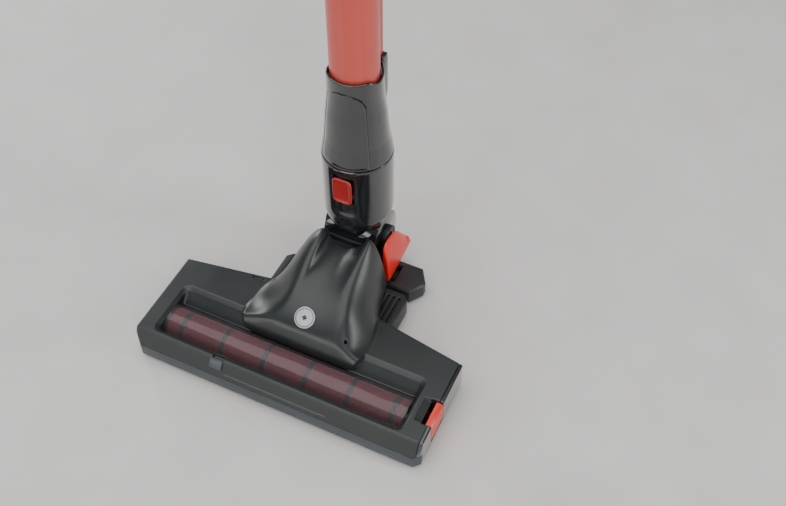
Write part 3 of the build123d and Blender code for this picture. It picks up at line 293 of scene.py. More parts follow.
def circleOutline(cx, cy, radius, count=64):
    return [(cx + radius * math.cos(2 * math.pi * i / count), cy + radius * math.sin(2 * math.pi * i / count))
            for i in range(count)]


def toolFrom(bm):
    mesh = bpy.data.meshes.new("tool")
    bm.to_mesh(mesh)
    bm.free()
    tool = bpy.data.objects.new("tool", mesh)
    bpy.context.scene.collection.objects.link(tool)
    return tool


def prismTool(outline, low, high, plane="xy"):
    bm = bmesh.new()
    addPrism(bm, outline, low, high, plane)
    return toolFrom(bm)


def roundedBox(x0, x1, y0, y1, corner):
    # outline with quarter-circle corners, from the upper right one round to the lower right one
    points = []
    for cx, cy, start in ((x1 - corner, y1 - corner, 0), (x0 + corner, y1 - corner, 90),
                          (x0 + corner, y0 + corner, 180), (x1 - corner, y0 + corner, 270)):
        for k in range(7):
            turn = math.radians(start + 15 * k)
            points.append((cx + corner * math.cos(turn), cy + corner * math.sin(turn)))
    return points


def wellTool(levels):
    # rounded well cut from above; each level: height, left, right, front, rear, corner
    bm = bmesh.new()
    rings = []
    for level, x0, x1, y0, y1, corner in levels:
        outline = roundedBox(x0, x1, y0, y1, corner)
        rings.append([bm.verts.new((x * mm, y * mm, level * mm)) for x, y in outline])
    bm.faces.new(rings[0][::-1])
    bm.faces.new(rings[-1])
    count = len(rings[0])
    for low, high in zip(rings, rings[1:]):
        for i in range(count):
            j = (i + 1) % count
            bm.faces.new((low[i], low[j], high[j], high[i]))
    bmesh.ops.recalc_face_normals(bm, faces=bm.faces)
    return toolFrom(bm)


def evenSkin(piece, grain, rounds):
    # remeshes a cut body so that its edges come out softly rounded
    step = piece.modifiers.new("even skin", "REMESH")
    step.mode = "VOXEL"
    step.voxel_size = grain * mm
    applyAll(piece)
    ease = piece.modifiers.new("eased edges", "SMOOTH")
    ease.factor = 0.5
    ease.iterations = rounds
    applyAll(piece)
    smoothPiece(piece, 180)


def refinish(piece, *finishes):
    piece.data.materials.clear()
    for finish in finishes:
        piece.data.materials.append(finish)


def applyAll(piece):
    depsgraph = bpy.context.evaluated_depsgraph_get()
    shaped = bpy.data.meshes.new_from_object(piece.evaluated_get(depsgraph))
    piece.modifiers.clear()
    piece.data = shaped


def cut(piece, tool, way="DIFFERENCE"):
    step = piece.modifiers.new("cut", "BOOLEAN")
    step.operation = way
    step.solver = "EXACT"
    step.object = tool
    applyAll(piece)
    bpy.data.objects.remove(tool)


def roundEdges(piece, width, segments=3, angle=30):
    step = piece.modifiers.new("rounded edges", "BEVEL")
    step.width = width * mm
    step.segments = segments
    step.limit_method = "ANGLE"
    step.angle_limit = math.radians(angle)
    step.harden_normals = False
    applyAll(piece)
    smoothPiece(piece, 40)


def gridPiece(name, rows, finish, body, closeRows=True, caps=True, levels=1):
    # rows of points in mm, each row a ring; neighbours are joined into quads
    bm = bmesh.new()
    rings = [[bm.verts.new([v * mm for v in point]) for point in row] for row in rows]
    count = len(rings[0])
    for low, high in zip(rings, rings[1:]):
        for i in range(count if closeRows else count - 1):
            j = (i + 1) % count
            bm.faces.new((low[i], low[j], high[j], high[i]))
    if caps:
        bm.faces.new(rings[0][::-1])
        bm.faces.new(rings[-1])
    bmesh.ops.recalc_face_normals(bm, faces=bm.faces)
    piece = newPiece(name, bm, finish, body)
    if levels > 0:
        step = piece.modifiers.new("smooth skin", "SUBSURF")
        step.levels = levels
        step.render_levels = levels
        applyAll(piece)
        smoothPiece(piece, 60)
    return piece


def softened(node, name, finish, body, width=0.5, segments=2):
    # the CAD piece with its edges rounded
    source = frame["nodes"][node]
    bm = bmesh.new()
    bm.from_mesh(source.data)
    bmesh.ops.remove_doubles(bm, verts=bm.verts, dist=0.00002)
    bmesh.ops.dissolve_limit(bm, angle_limit=math.radians(2), verts=bm.verts, edges=bm.edges)
    piece = newPiece(name, bm, finish, body)
    refinish(piece, finish)
    roundEdges(piece, width, segments)
    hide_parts(node)


# head shell: flat ends, leaning front, window well and the tower
shell = {
    "corner": 5, "rearCorner": frontY + 85, "midHalf": 48, "slope": 9, "skirt": 3.4,
    "slopeFoot": 16.5, "slopeRun": 7, "capSeam": 124.1, "seamGap": 0.3, "grain": 0.62,
    "latchFront": rollY - 8.3, "latchRear": rollY + 14.3, "latchGap": 0.2,
}
midY = shell["rearCorner"] + (halfLength - shell["midHalf"]) * math.tan(math.radians(shell["slope"]))
# window well from the top down: height, left, right, front, rear, corner
wellLevels = [
    (38.0, -115.4, 109.8, frontY + 8.6, rollY + 30.0, 7.5),
    (31.0, -114.4, 108.6, frontY + 9.8, rollY + 29.0, 6.5),
    (28.7, -111.4, 105.6, frontY + 12.8, rollY + 25.0, 4.5),
    (20.8, -110.4, 104.2, frontY + 16.0, rollY + 15.6, 3.0),
]
# room under the shell for the roll and for the collar and neck
rollRoom = {"left": -111.2, "right": 104.7, "radius": 16}
collarRoom = {"radius": 31, "low": 60, "high": 100}
neckRoom = {"half": 44, "before": 40, "rear": 60, "low": -5, "high": 28}
# latch: finger scoop beside it as points x, z, then a shallow pocket and the window below it
scoop = {"inset": 0.6, "outline": [(110.6, 31.8), (118.6, 27.6), (118.6, 36), (110.6, 36)]}
latchWindow = {"right": 130, "top": 40, "cuts": ((118.0, 18.6), (118.5, 7.4))}
# small marks in the top: slots by the rear edge as middle and length, a dot and a clip's notch
rearSlots = {"spans": ((-62.0, 10.0), (-45.0, 8.0)), "far": 4.6, "near": 2.2, "low": 29.2, "high": 34}
dot = {"x": 38.0, "y": -37.4, "radius": 1.4, "low": 34, "high": 50}
clip = {"left": -57.0, "right": -46.0, "front": 7.4, "rear": 12, "low": 27.0, "high": 34}
# groove across the front as points y from the front, z; step that the bumper strip sits in
frontGroove = {"left": -44, "right": 48, "outline": [(-1, 19.4), (3.0, 20.6), (3.0, 21.6), (-1, 20.4)]}
bumperStep = {"outer": -2, "inner": 3.2, "top": 16.3, "reach": 7.2}


def rearEdgeAt(x):
    return shell["rearCorner"] + (halfLength - abs(x)) * math.tan(math.radians(shell["slope"]))


def headOutline(inset=0.0):
    side = halfLength - inset
    cutBack = shell["corner"] - 0.586 * inset
    return [
        (cutBack - side, frontY + inset), (side - cutBack, frontY + inset),
        (side, frontY + cutBack + inset), (side, shell["rearCorner"] - inset),
        (shell["midHalf"], midY - inset), (-shell["midHalf"], midY - inset),
        (-side, shell["rearCorner"] - inset), (-side, frontY + cutBack + inset),
    ]


# stations from the nose to the rear: y, channel half, channel height, then for the right and the left lobe
# foot half, crest half, crest height, how full the flank is, and last the foot's lower and upper height
towerStations = [
    (-48.6, 8.0, 30.6, (50.0, 42.0, 30.6, 1.4), (49.6, 40.0, 30.6, 1.6), 21.0, 30.6),
    (-48.2, 8.0, 32.4, (51.0, 41.0, 32.4, 1.4), (51.0, 39.0, 32.4, 1.6), 21.0, 32.2),
    (-46.4, 8.0, 35.6, (51.8, 37.0, 35.6, 1.4), (52.4, 34.0, 35.6, 1.6), 21.0, 34.8),
    (-44.6, 8.0, 38.8, (52.4, 33.0, 38.8, 1.4), (53.8, 29.0, 38.8, 1.7), 21.0, 36.4),
    (-43.0, 8.0, 41.4, (52.8, 31.0, 41.4, 1.4), (55.0, 27.0, 41.4, 1.5), 22.0, 36.4),
    (-40.4, 8.0, 44.0, (53.2, 29.4, 44.2, 1.4), (56.0, 24.4, 44.0, 1.6), 22.0, 35.0),
    (-34.0, 8.0, 48.6, (54.0, 28.4, 49.6, 1.4), (57.6, 21.6, 48.8, 1.9), 24.0, 32.4),
    (-26.0, 8.0, 52.8, (54.0, 27.4, 54.6, 1.35), (58.6, 19.8, 53.4, 2.1), 26.0, 30.8),
    (-18.0, 9.0, 55.8, (53.6, 25.0, 58.6, 1.25), (58.4, 18.8, 57.4, 2.1), 26.0, 30.6),
    (-6.0, 10.0, 58.4, (51.4, 22.4, 62.4, 1.15), (55.4, 18.2, 62.0, 1.75), 26.0, 30.6),
    (4.0, 11.0, 60.2, (47.0, 21.6, 66.2, 1.0), (50.6, 17.8, 66.4, 1.4), 28.5, 28.5),
    (16.0, 12.0, 61.6, (43.6, 21.8, 71.4, 0.95), (47.4, 17.4, 71.6, 1.1), 28.5, 28.5),
    (28.0, 13.0, 62.4, (40.6, 22.4, 76.8, 0.9), (45.4, 17.2, 75.4, 1.0), 28.5, 28.5),
    (38.0, 14.0, 62.8, (38.6, 22.4, 79.8, 0.85), (43.8, 17.2, 74.6, 1.0), 28.5, 28.5),
    (42.4, 14.4, 62.8, (37.8, 22.0, 79.6, 0.85), (43.4, 17.2, 72.4, 1.0), 28.5, 28.5),
]


def towerSide(side, y, channel, floor, lobe, low, base):
    foot, crest, top, full = lobe
    dip = top - floor
    half = [
        (channel * 0.6, floor + dip * 0.05),
        (channel * 0.55 + crest * 0.45 - 0.6, floor + dip * 0.46),
        (crest - 2.4, top - dip * 0.1),
    ]
    lift = 1.9 - 0.6 * easeStep(full, 1.4, 2.0)
    for t in (0.05, 0.16, 0.3, 0.44, 0.58, 0.72, 0.86, 1.0):
        half.append((crest + (foot - crest) * t, base + (top - base) * (1 - t ** lift) ** full))
    half += [(foot - 0.4, low), (foot * 0.5, low)]
    return [(side * x, y, z) for x, z in half]


def towerRing(station):
    y, channel, floor, rightLobe, leftLobe, low, base = station
    right = towerSide(1, y, channel, floor, rightLobe, low, base)
    left = towerSide(-1, y, channel, floor, leftLobe, low, base)
    return [(0.0, y, floor)] + right + [(0.0, y, low)] + left[::-1]


tower = gridPiece("tower", [towerRing(s) for s in towerStations], coverBlack, "head", levels=2)

shellBody = bmesh.new()
addPrism(shellBody, headOutline(), shell["skirt"], headTop)
headShell = newPiece("head_shell", shellBody, coverBlack, "head")
lean = (headTop - shell["slopeFoot"]) / shell["slopeRun"]
slopeCut = [
    (frontY - 2, shell["slopeFoot"] - 2 * lean), (frontY + shell["slopeRun"] + 2, headTop + 2 * lean),
    (frontY - 2, headTop + 2 * lean),
]
cut(headShell, prismTool(slopeCut, -far, far, "yz"))
roundEdges(headShell, 1.0, 3, 40)
cut(headShell, wellTool(wellLevels))
cut(headShell, tower, "UNION")
rollSpan = rollRoom["left"], rollRoom["right"]
rollFront, rollRear = rollY - rollRoom["radius"], rollY + rollRoom["radius"]
cut(headShell, prismTool(circleOutline(rollY, rollZ, rollRoom["radius"], 96), *rollSpan, "yz"))
cut(headShell, prismTool(boxOutline(*rollSpan, rollFront, rollRear), 0, rollZ))
collarOutline = circleOutline(0, wandY, collarRoom["radius"], 96)
cut(headShell, prismTool(collarOutline, collarRoom["low"], collarRoom["high"]))
neckOutline = boxOutline(-neckRoom["half"], neckRoom["half"], midY - neckRoom["before"], neckRoom["rear"])
cut(headShell, prismTool(neckOutline, neckRoom["low"], neckRoom["high"]))
scoopSpan = shell["latchFront"] + scoop["inset"], shell["latchRear"] - scoop["inset"]
cut(headShell, prismTool(scoop["outline"], *scoopSpan, "xz"))
latchSpan = shell["latchFront"] - shell["latchGap"], shell["latchRear"] + shell["latchGap"]
for left, low in latchWindow["cuts"]:
    cut(headShell, prismTool(boxOutline(left, latchWindow["right"], *latchSpan), low, latchWindow["top"]))
for x, length in rearSlots["spans"]:
    slotSpan = rearEdgeAt(x) - rearSlots["far"], rearEdgeAt(x) - rearSlots["near"]
    slotOutline = boxOutline(x - length / 2, x + length / 2, *slotSpan)
    cut(headShell, prismTool(slotOutline, rearSlots["low"], rearSlots["high"]))
dotOutline = circleOutline(dot["x"], dot["y"], dot["radius"], 24)
cut(headShell, prismTool(dotOutline, dot["low"], dot["high"]))
notchSides = clip["left"] + 1.0, clip["right"] - 0.4
notchOutline = boxOutline(*notchSides, frontY + clip["front"], frontY + clip["rear"])
cut(headShell, prismTool(notchOutline, clip["low"], clip["high"]))
grooveOutline = [(frontY + y, z) for y, z in frontGroove["outline"]]
cut(headShell, prismTool(grooveOutline, frontGroove["left"], frontGroove["right"], "yz"))
stepTool = prismTool(headOutline(bumperStep["outer"]), 0, bumperStep["top"])
cut(stepTool, prismTool(headOutline(bumperStep["inner"]), -1, 20))
cut(stepTool, prismTool(boxOutline(-far, far, frontY + bumperStep["reach"], far), -1, 20))
cut(headShell, stepTool)
print("head shell cut")

capRight = headShell.copy()
capRight.data = headShell.data.copy()
capRight.name = "right_cap"
bpy.context.scene.collection.objects.link(capRight)
cut(capRight, prismTool(boxOutline(-far, shell["capSeam"] + shell["seamGap"], -far, far), -5, 90))
cut(headShell, prismTool(boxOutline(shell["capSeam"], far, -far, far), -5, 90))
evenSkin(headShell, shell["grain"], 3)
evenSkin(capRight, 0.5, 2)
refinish(headShell, coverBlack)
refinish(capRight, towerBlack)
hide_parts("top_cover", "end_cap_left")
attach(capRight, "head")
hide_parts("end_cap_right")
print("head shell", len(headShell.data.polygons), "faces")

# clip tab on the leaning front, bumper and latch
clipOutline = [(frontY + 2.2, 23.4), (frontY + 2.5, 25.2), (frontY + 5.4, 30.2), (frontY + 6.6, 30.9),
               (frontY + 7.2, 30.6), (frontY + 7.2, 26.0), (frontY + 5.4, 23.4)]
clipBody = bmesh.new()
addPrism(clipBody, clipOutline, clip["left"], clip["right"], "yz")
clipTab = newPiece("clip_tab", clipBody, bumperGrey, "head")
roundEdges(clipTab, 0.7, 3, 35)
refinish(clipTab, bumperGrey)
softened("bumper", "bumper_strip", bumperGrey, "head", 0.8, 3)
softened("latch", "roll_latch", signalRed, "latch", 0.8, 3)

# latch's coil
coil = {
    "start": 117.0, "length": 4.6, "turns": 4, "radius": 2.9, "wire": 0.25, "y": rollY + 10, "z": 13.0,
    "keep": 0.4,
}


def coilRows():
    rows = []
    steps = 24 * coil["turns"]
    for k in range(steps + 1):
        turn = 2 * math.pi * k / 24
        ring = []
        for i in range(8):
            around = math.pi * i / 4
            reach = coil["radius"] + coil["wire"] * math.cos(around)
            ring.append((coil["start"] + coil["length"] * k / steps + coil["wire"] * math.sin(around),
                         coil["y"] + reach * math.cos(turn), coil["z"] + reach * math.sin(turn)))
        rows.append(ring)
    return rows


latchCoil = gridPiece("latch_coil", coilRows(), steelGrey, "head", levels=0)
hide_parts("latch_spring")
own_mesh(latchCoil)

# badge: plain silver disc with a sunk dark ring and a small plain diamond
badge = {"radius": 8.75, "lean": 33, "y": rollY + 29, "z": 49.4, "ring": (7.0, 7.5), "mark": 2.4}
badgeProfile = [(0.0, 0.86), (badge["mark"], 0.86), (badge["ring"][0], 0.86), (badge["ring"][0] + 0.1, 0.62),
                (badge["ring"][1], 0.62), (badge["ring"][1] + 0.1, 0.86), (8.4, 0.84), (8.66, 0.66),
                (badge["radius"], 0.4), (badge["radius"], -0.8), (0.0, -0.8)]


def badgePoint(radius, turn, rise):
    lean = math.radians(badge["lean"])
    a, b = radius * math.cos(turn), radius * math.sin(turn)
    return (a, badge["y"] + b * math.cos(lean) - rise * math.sin(lean),
            badge["z"] + b * math.sin(lean) + rise * math.cos(lean))


badgeRings = []
for radius, rise in badgeProfile:
    if 0 < radius == badge["mark"]:
        turns = [math.pi * i / 36 for i in range(72)]
        shape = [radius / (abs(math.cos(turn)) + abs(math.sin(turn))) for turn in turns]
    else:
        shape = [max(radius, 0.01)] * 72
    badgeRings.append([badgePoint(shape[i], math.pi * i / 36, rise) for i in range(72)])
badgeDisc = gridPiece("badge_disc", badgeRings, badgeSilver, "head", levels=0)
refinish(badgeDisc, badgeSilver, coverBlack)
# ring and diamond are picked by their place on the leaning disc and painted dark
badgeLean = math.radians(badge["lean"])
for face in badgeDisc.data.polygons:
    x, y, z = (v / mm for v in face.center)
    b = (y - badge["y"]) * math.cos(badgeLean) + (z - badge["z"]) * math.sin(badgeLean)
    away = math.hypot(x, b)
    rise = (z - badge["z"]) * math.cos(badgeLean) - (y - badge["y"]) * math.sin(badgeLean)
    if rise > 0.5 and (abs(away - sum(badge["ring"]) / 2) < 0.4 or abs(x) + abs(b) < badge["mark"] * 0.9):
        face.material_index = 1
smoothPiece(badgeDisc, 30)
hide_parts("badge")


# roll, window and inner parts
def dress(node, finish):
    refinish(frame["nodes"][node], finish)


for node, finish in {
    "window": windowSmoke, "roll_fleece": fleeceBurgundy, "roll_bristles": bristleDark,
    "lint_strips": lintRed, "circuit_board": boardGreen,
}.items():
    dress(node, finish)
for finish, names in (
    (steelGrey, "roll_core roll_shaft motor_can motor_rotor cover_screws"),
    (steelGrey, "pedal_spring pedal_pin rear_axle roller_axles"),
    (brassGold, "roll_bearings motor_pinion contact_pins"),
    (rubberBlack, "drive_belt motor_lead plug_seal"),
    (chassisBlack, "roll_plugs roll_pulley motor_magnets air_duct pivot_bushes base_plate collar_liner"),
    (chassisBlack, "contact_socket contact_block wand_catch swivel_ring"),
):
    for node in names.split():
        dress(node, finish)
print("roll and inner parts dressed")

# chassis
softened("rear_block", "rear_block_shell", chassisBlack, "head", 0.8, 3)
softened("rear_sled", "rear_sled_shell", chassisBlack, "head", 0.8, 3)
softened("neck_bracket", "neck_cheeks", chassisBlack, "head", 0.6, 2)
softened("neck_cradle", "neck_shoe", chassisBlack, "head", 0.4, 2)
softened("knuckle", "knuckle_shell", towerBlack, "neck", 0.5, 2)
for word in ("left", "right"):
    dress(f"rear_wheel_{word}", chassisBlack)
    dress(f"rear_tyre_{word}", rubberBlack)
    dress(f"front_roller_{word}", rubberBlack)

# foot pedal: each station is y from the pivot, height of the top, height of the underside
wingStations = [
    (-19.6, 57.0, 19.6), (-17.5, 62.5, 19.2), (-12.0, 65.2, 19.0), (-4.0, 64.2, 19.8), (3.0, 61.8, 20.6),
    (9.0, 56.4, 21.6), (13.5, 49.8, 22.4), (18.0, 43.6, 23.2), (22.0, 37.8, 24.2), (25.0, 33.4, 25.2),
    (26.8, 30.6, 27.0),
]
armStations = [
    (-19.6, 26.0, 19.6), (-12.0, 27.6, 19.0), (-4.0, 29.4, 19.8), (6.0, 32.0, 21.2), (15.0, 34.8, 22.8),
    (22.0, 35.2, 24.2), (25.0, 33.8, 25.2), (26.8, 31.0, 27.0),
]
pedalInner, pedalOuter = 29.4, 36.0
lip = {"front": 15.2, "rear": 26.9, "top": 36.0, "sink": 4.0}


def pedalFlank(side, stations, tuck):
    rows = []
    for back, top, low in stations:
        y = wandY + back
        high = top - low
        rows.append([
            (side * pedalInner, y, low), (side * (pedalOuter - 1.2), y, low),
            (side * pedalOuter, y, low + 1.4), (side * pedalOuter, y, low + high * 0.4),
            (side * (pedalOuter - tuck * 0.3), y, low + high * 0.7),
            (side * (pedalOuter - tuck * 0.75), y, low + high * 0.92),
            (side * (pedalOuter - tuck * 1.1), y, top),
            (side * (pedalInner + 0.4), y, top - 0.3), (side * pedalInner, y, top - 1.6),
        ])
    return gridPiece("pedal_flank", rows, signalRed, "pedal", levels=2)


def pedalLip():
    # bar across the back, lowest in the middle
    rows = []
    steps = 14
    front, rear = wandY + lip["front"], wandY + lip["rear"]
    for k in range(steps + 1):
        x = -pedalOuter + 2 * pedalOuter * k / steps
        top = lip["top"] - lip["sink"] * (1 - (x / pedalOuter) ** 2)
        rows.append([
            (x, front, 28.4), (x, front + 0.4, top - 1.4), (x, front + 2.4, top), (x, rear - 3.6, top - 0.4),
            (x, rear - 0.8, top - 2.0), (x, rear, 29.4), (x, rear - 1.4, 27.4), (x, rear - 6.0, 27.0),
            (x, front + 1.0, 27.2),
        ])
    return gridPiece("pedal_lip", rows, signalRed, "pedal", levels=2)


pedal = pedalFlank(-1, armStations, 1.5)
for other in (pedalFlank(1, wingStations, 5.0), pedalLip()):
    cut(pedal, other, "UNION")
evenSkin(pedal, 0.55, 8)
pedal.name = "foot_pedal"
refinish(pedal, signalRed)
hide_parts("pedal")
print("pedal made")


# collar, fitting and tube
def turnedRows(profile, radiusAt, count=96):
    # rings about the wand's axis; radiusAt bends the plain radius by angle and height
    rows = []
    for radius, z in profile:
        ring = []
        for i in range(count):
            turn = 2 * math.pi * i / count
            reach = radiusAt(radius, turn, z)
            ring.append((reach * math.sin(turn), wandY - reach * math.cos(turn), z))
        rows.append(ring)
    return rows


def fine(profile, step):
    # splits long runs of a profile so that shapes can follow its height
    full = [profile[0]]
    for (r0, z0), (r1, z1) in zip(profile, profile[1:]):
        parts = max(1, int(abs(z1 - z0) / step))
        full += [(r0 + (r1 - r0) * k / parts, z0 + (z1 - z0) * k / parts) for k in range(1, parts + 1)]
    return full


collar = {
    "fluteHalf": 11.5, "fluteDepth": 1.5, "fluteFoot": (96, 104), "fluteTop": (147, 149),
    "cutBack": 3, "cutHeight": 80, "cutFacing": (-0.6, -0.6, math.sqrt(2)), "key": (-8.9, 8.9, 113.1, 140.9),
}


def collarRadius(radius, turn, z):
    # flat flute down the front, framed by soft shoulders
    across = radius * math.sin(turn)
    if math.cos(turn) <= 0:
        return radius
    inFlute = 1 - easeStep(abs(across), collar["fluteHalf"] - 2, collar["fluteHalf"])
    along = easeStep(z, *collar["fluteFoot"]) * (1 - easeStep(z, *collar["fluteTop"]))
    return radius - collar["fluteDepth"] * inFlute * along


# radius and height, up the outside and down the inside
collarProfile = fine([
    (25.6, 80), (26.5, 80.1), (26.9, 80.6), (28.5, 87.5), (28.65, 89), (28.65, 149.2), (28.3, 149.9),
    (27.6, 150), (26.4, 150), (26.25, 149.6), (26.25, 89.6), (24.4, 89.6), (24.4, 80.2),
], 2.0)
collarRows = turnedRows(collarProfile, collarRadius)
collarShell = gridPiece("collar_skin", collarRows, towerBlack, "collar", caps=False, levels=0)
# the last row joins the first, which closes the wall
bm = bmesh.new()
bm.from_mesh(collarShell.data)
bridge = [edge for edge in bm.edges if edge.is_boundary]
bmesh.ops.bridge_loops(bm, edges=bridge)
bmesh.ops.recalc_face_normals(bm, faces=bm.faces)
bm.to_mesh(collarShell.data)
bm.free()
# the foot is cut on a slant, then the key's window is cut through the front
footCut = prismTool(boxOutline(-60, 60, -60, 60), -60, 0)
footAt = Vector((collar["cutBack"] * mm, (wandY + collar["cutBack"]) * mm, collar["cutHeight"] * mm))
footTurn = Vector(collar["cutFacing"]).to_track_quat("Z", "Y").to_matrix().to_4x4()
footCut.data.transform(Matrix.Translation(footAt) @ footTurn)
cut(collarShell, footCut)
windowLeft, windowRight, windowLow, windowHigh = collar["key"]
cut(collarShell, prismTool(boxOutline(windowLeft, windowRight, 0, wandY), windowLow, windowHigh))
refinish(collarShell, towerBlack)
smoothPiece(collarShell, 38)
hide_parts("collar_shell")

# release button: dished key with a short tongue behind it
keyHalf, keyLow, keyHigh, keyCorner = 8.4, 113.7, 140.3, 4.2
tongue = {"half": 4.6, "front": -26.8, "rear": -24.5, "low": 120.5, "high": 133.5}
tongueRoom = {"half": 5.2, "front": -26, "rear": -20, "low": 119.9, "high": 134.1}
# each level: y from the wand's axis, how far the outline is drawn in
keyLevels = [
    (-26.6, 0.0), (-28.5, 0.0), (-29.1, 0.35), (-29.4, 1.0), (-29.3, 1.7), (-28.5, 2.5), (-28.4, 5.0),
]


def keyRing(back, inset):
    half = keyHalf - inset
    corner = max(keyCorner - inset * 0.6, 0.5)
    outline = roundedBox(-half, half, keyLow + inset, keyHigh - inset, corner)
    return [(x, wandY + back, z) for x, z in outline]


releaseKey = gridPiece("release_key", [keyRing(*level) for level in keyLevels], buttonRed, "release_button",
                       levels=1)
keyBody = bmesh.new()
keyBody.from_mesh(releaseKey.data)
tongueSpan = wandY + tongue["front"], wandY + tongue["rear"]
addPrism(keyBody, boxOutline(-tongue["half"], tongue["half"], *tongueSpan), tongue["low"], tongue["high"])
keyBody.to_mesh(releaseKey.data)
keyBody.free()
smoothPiece(releaseKey, 50)
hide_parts("release_button")

# wand fitting: plug, flared body with a thin rim, rear spine and front panel; the curve is height, radius
fittingCurve = [(152.0, 28.4), (160.5, 27.0), (168.0, 25.8), (180.0, 24.7), (190.7, 23.7), (199.0, 22.6),
                (206.0, 21.9), (215.0, 21.5), (229.2, 21.3)]
panel = {"half": 47, "low": 152.4, "top": 221.0, "corner": 17, "gap": 0.55, "depth": 0.7}


def fittingAt(z):
    for (z0, r0), (z1, r1) in zip(fittingCurve, fittingCurve[1:]):
        if z <= z1:
            return r0 + (r1 - r0) * max(0.0, z - z0) / (z1 - z0)
    return fittingCurve[-1][1]


def panelReach(z):
    # half width of the panel on the surface at a height, with round upper corners
    reach = math.radians(panel["half"]) * fittingAt(z)
    over = z - (panel["top"] - panel["corner"])
    if over <= 0:
        return reach
    return reach - panel["corner"] + math.sqrt(max(0.0, panel["corner"] ** 2 - over ** 2))


def fittingRadius(radius, turn, z):
    # seat sunk for the front panel
    if z < panel["low"] - 0.6 or z > panel["top"] + 0.6 or radius < 20:
        return radius
    centred = (turn + math.pi) % (2 * math.pi) - math.pi
    if abs(centred) * radius < panelReach(min(z, panel["top"])) + panel["gap"]:
        return radius - panel["depth"]
    return radius


plugRadius, plugFoot, tubeFoot = 24.25, 106.0, 178.0
# radius and height: plug, flare, rim, then down inside the mouth to the plug's bore
fittingProfile = fine([
    (21.1, plugFoot), (23.9, plugFoot + 0.1), (plugRadius, plugFoot + 0.6), (plugRadius, 150.1),
    (27.4, 150.35), (28.2, 150.9),
] + [(r, z) for z, r in fittingCurve] + [
    (21.0, 229.9), (20.6, 230.1), (20.1, 229.8), (19.9, 226.4), (18.7, 226.2), (18.56, 225.8),
    (18.56, tubeFoot), (17.6, tubeFoot), (17.6, 170.0), (21.1, 162.0),
], 0.8)
rim = {"from": 205.0, "run": 25, "dip": 4.6, "side": (52, 84), "rear": (112, 140)}


def dipRim(rows):
    # the mouth sinks at both sides and rises again to the rear spine
    for row in rows:
        for i, (x, y, z) in enumerate(row):
            if z < rim["from"]:
                continue
            away = abs(math.degrees(math.atan2(x, wandY - y)))
            side = easeStep(away, *rim["side"]) * (1 - easeStep(away, *rim["rear"]))
            row[i] = (x, y, z - rim["dip"] * side * (z - rim["from"]) / rim["run"])
    return rows


fittingRows = dipRim(turnedRows(fittingProfile + [fittingProfile[0]], fittingRadius, 192))
fittingSkin = gridPiece("fitting_skin", fittingRows, towerBlack, "wand", caps=False, levels=0)
weld = bmesh.new()
weld.from_mesh(fittingSkin.data)
bmesh.ops.remove_doubles(weld, verts=weld.verts, dist=0.000005)
bmesh.ops.recalc_face_normals(weld, faces=weld.faces)
weld.to_mesh(fittingSkin.data)
weld.free()
# pocket that the key's tongue moves in
roomFront, roomRear = wandY + tongueRoom["front"], wandY + tongueRoom["rear"]
roomOutline = boxOutline(-tongueRoom["half"], tongueRoom["half"], roomFront, roomRear)
cut(fittingSkin, prismTool(roomOutline, tongueRoom["low"], tongueRoom["high"]))
refinish(fittingSkin, towerBlack)
smoothPiece(fittingSkin, 35)
# spine as points y from the wand's axis, z, with room inside it for the tube's channel
spine = {"half": 13.5, "roomHalf": 11.1, "roomReach": 26.1, "outline": [
    (19.6, 184), (24.0, 183), (28.2, 193), (28.3, 223), (27.4, 227.4), (26.4, 228.6), (19.6, 228.6)]}
spineBody = bmesh.new()
addPrism(spineBody, [(wandY + y, z) for y, z in spine["outline"]], -spine["half"], spine["half"], "yz")
spinePiece = newPiece("fitting_spine", spineBody, towerBlack, "wand")
roundEdges(spinePiece, 1.4, 4, 40)
spineRoom = boxOutline(-spine["roomHalf"], spine["roomHalf"], 0, wandY + spine["roomReach"])
cut(spinePiece, prismTool(spineRoom, 100, 400))
refinish(spinePiece, towerBlack)
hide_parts("wand_fitting")


def panelRows():
    # curved plate with round upper corners, standing a hair proud of the body
    rows = []
    steps = 40
    heights = [panel["low"] + (panel["top"] - panel["low"]) * k / steps for k in range(steps + 1)]
    heights = heights[:-1] + [panel["top"] - 0.6, panel["top"] - 0.15]
    for k, z in enumerate(heights):
        outer = fittingAt(z) + 0.12
        edge = panelReach(z) / fittingAt(z)
        soft = 0.35 if 0 < k < len(heights) - 1 else 0.5
        ring = []
        for i in range(25):
            turn = edge * (i / 12 - 1)
            sunk = soft if i in (0, 24) else (0.1 if i in (1, 23) else 0)
            if k in (0, len(heights) - 1):
                sunk = max(sunk, 0.4)
            ring.append(((outer - sunk) * math.sin(turn), wandY - (outer - sunk) * math.cos(turn), z))
        inner = outer - panel["depth"]
        for i in range(24, -1, -1):
            turn = edge * (i / 12 - 1)
            ring.append((inner * math.sin(turn), wandY - inner * math.cos(turn), z))
        rows.append(ring)
    return rows


frontPanel = gridPiece("front_panel", panelRows(), towerBlack, "wand", levels=0)
smoothPiece(frontPanel, 40)
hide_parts("wand_panel")


tube = {"radius": 18.5, "bore": 17.3, "foot": 194, "top": 345}
# channel behind the tube: half width, reach from the axis, outer corner, and the space inside it
channel = {"half": 11.0, "reach": 26.0, "corner": 2.2, "roomHalf": 9.8, "roomFront": 18.9, "roomRear": 24.8}


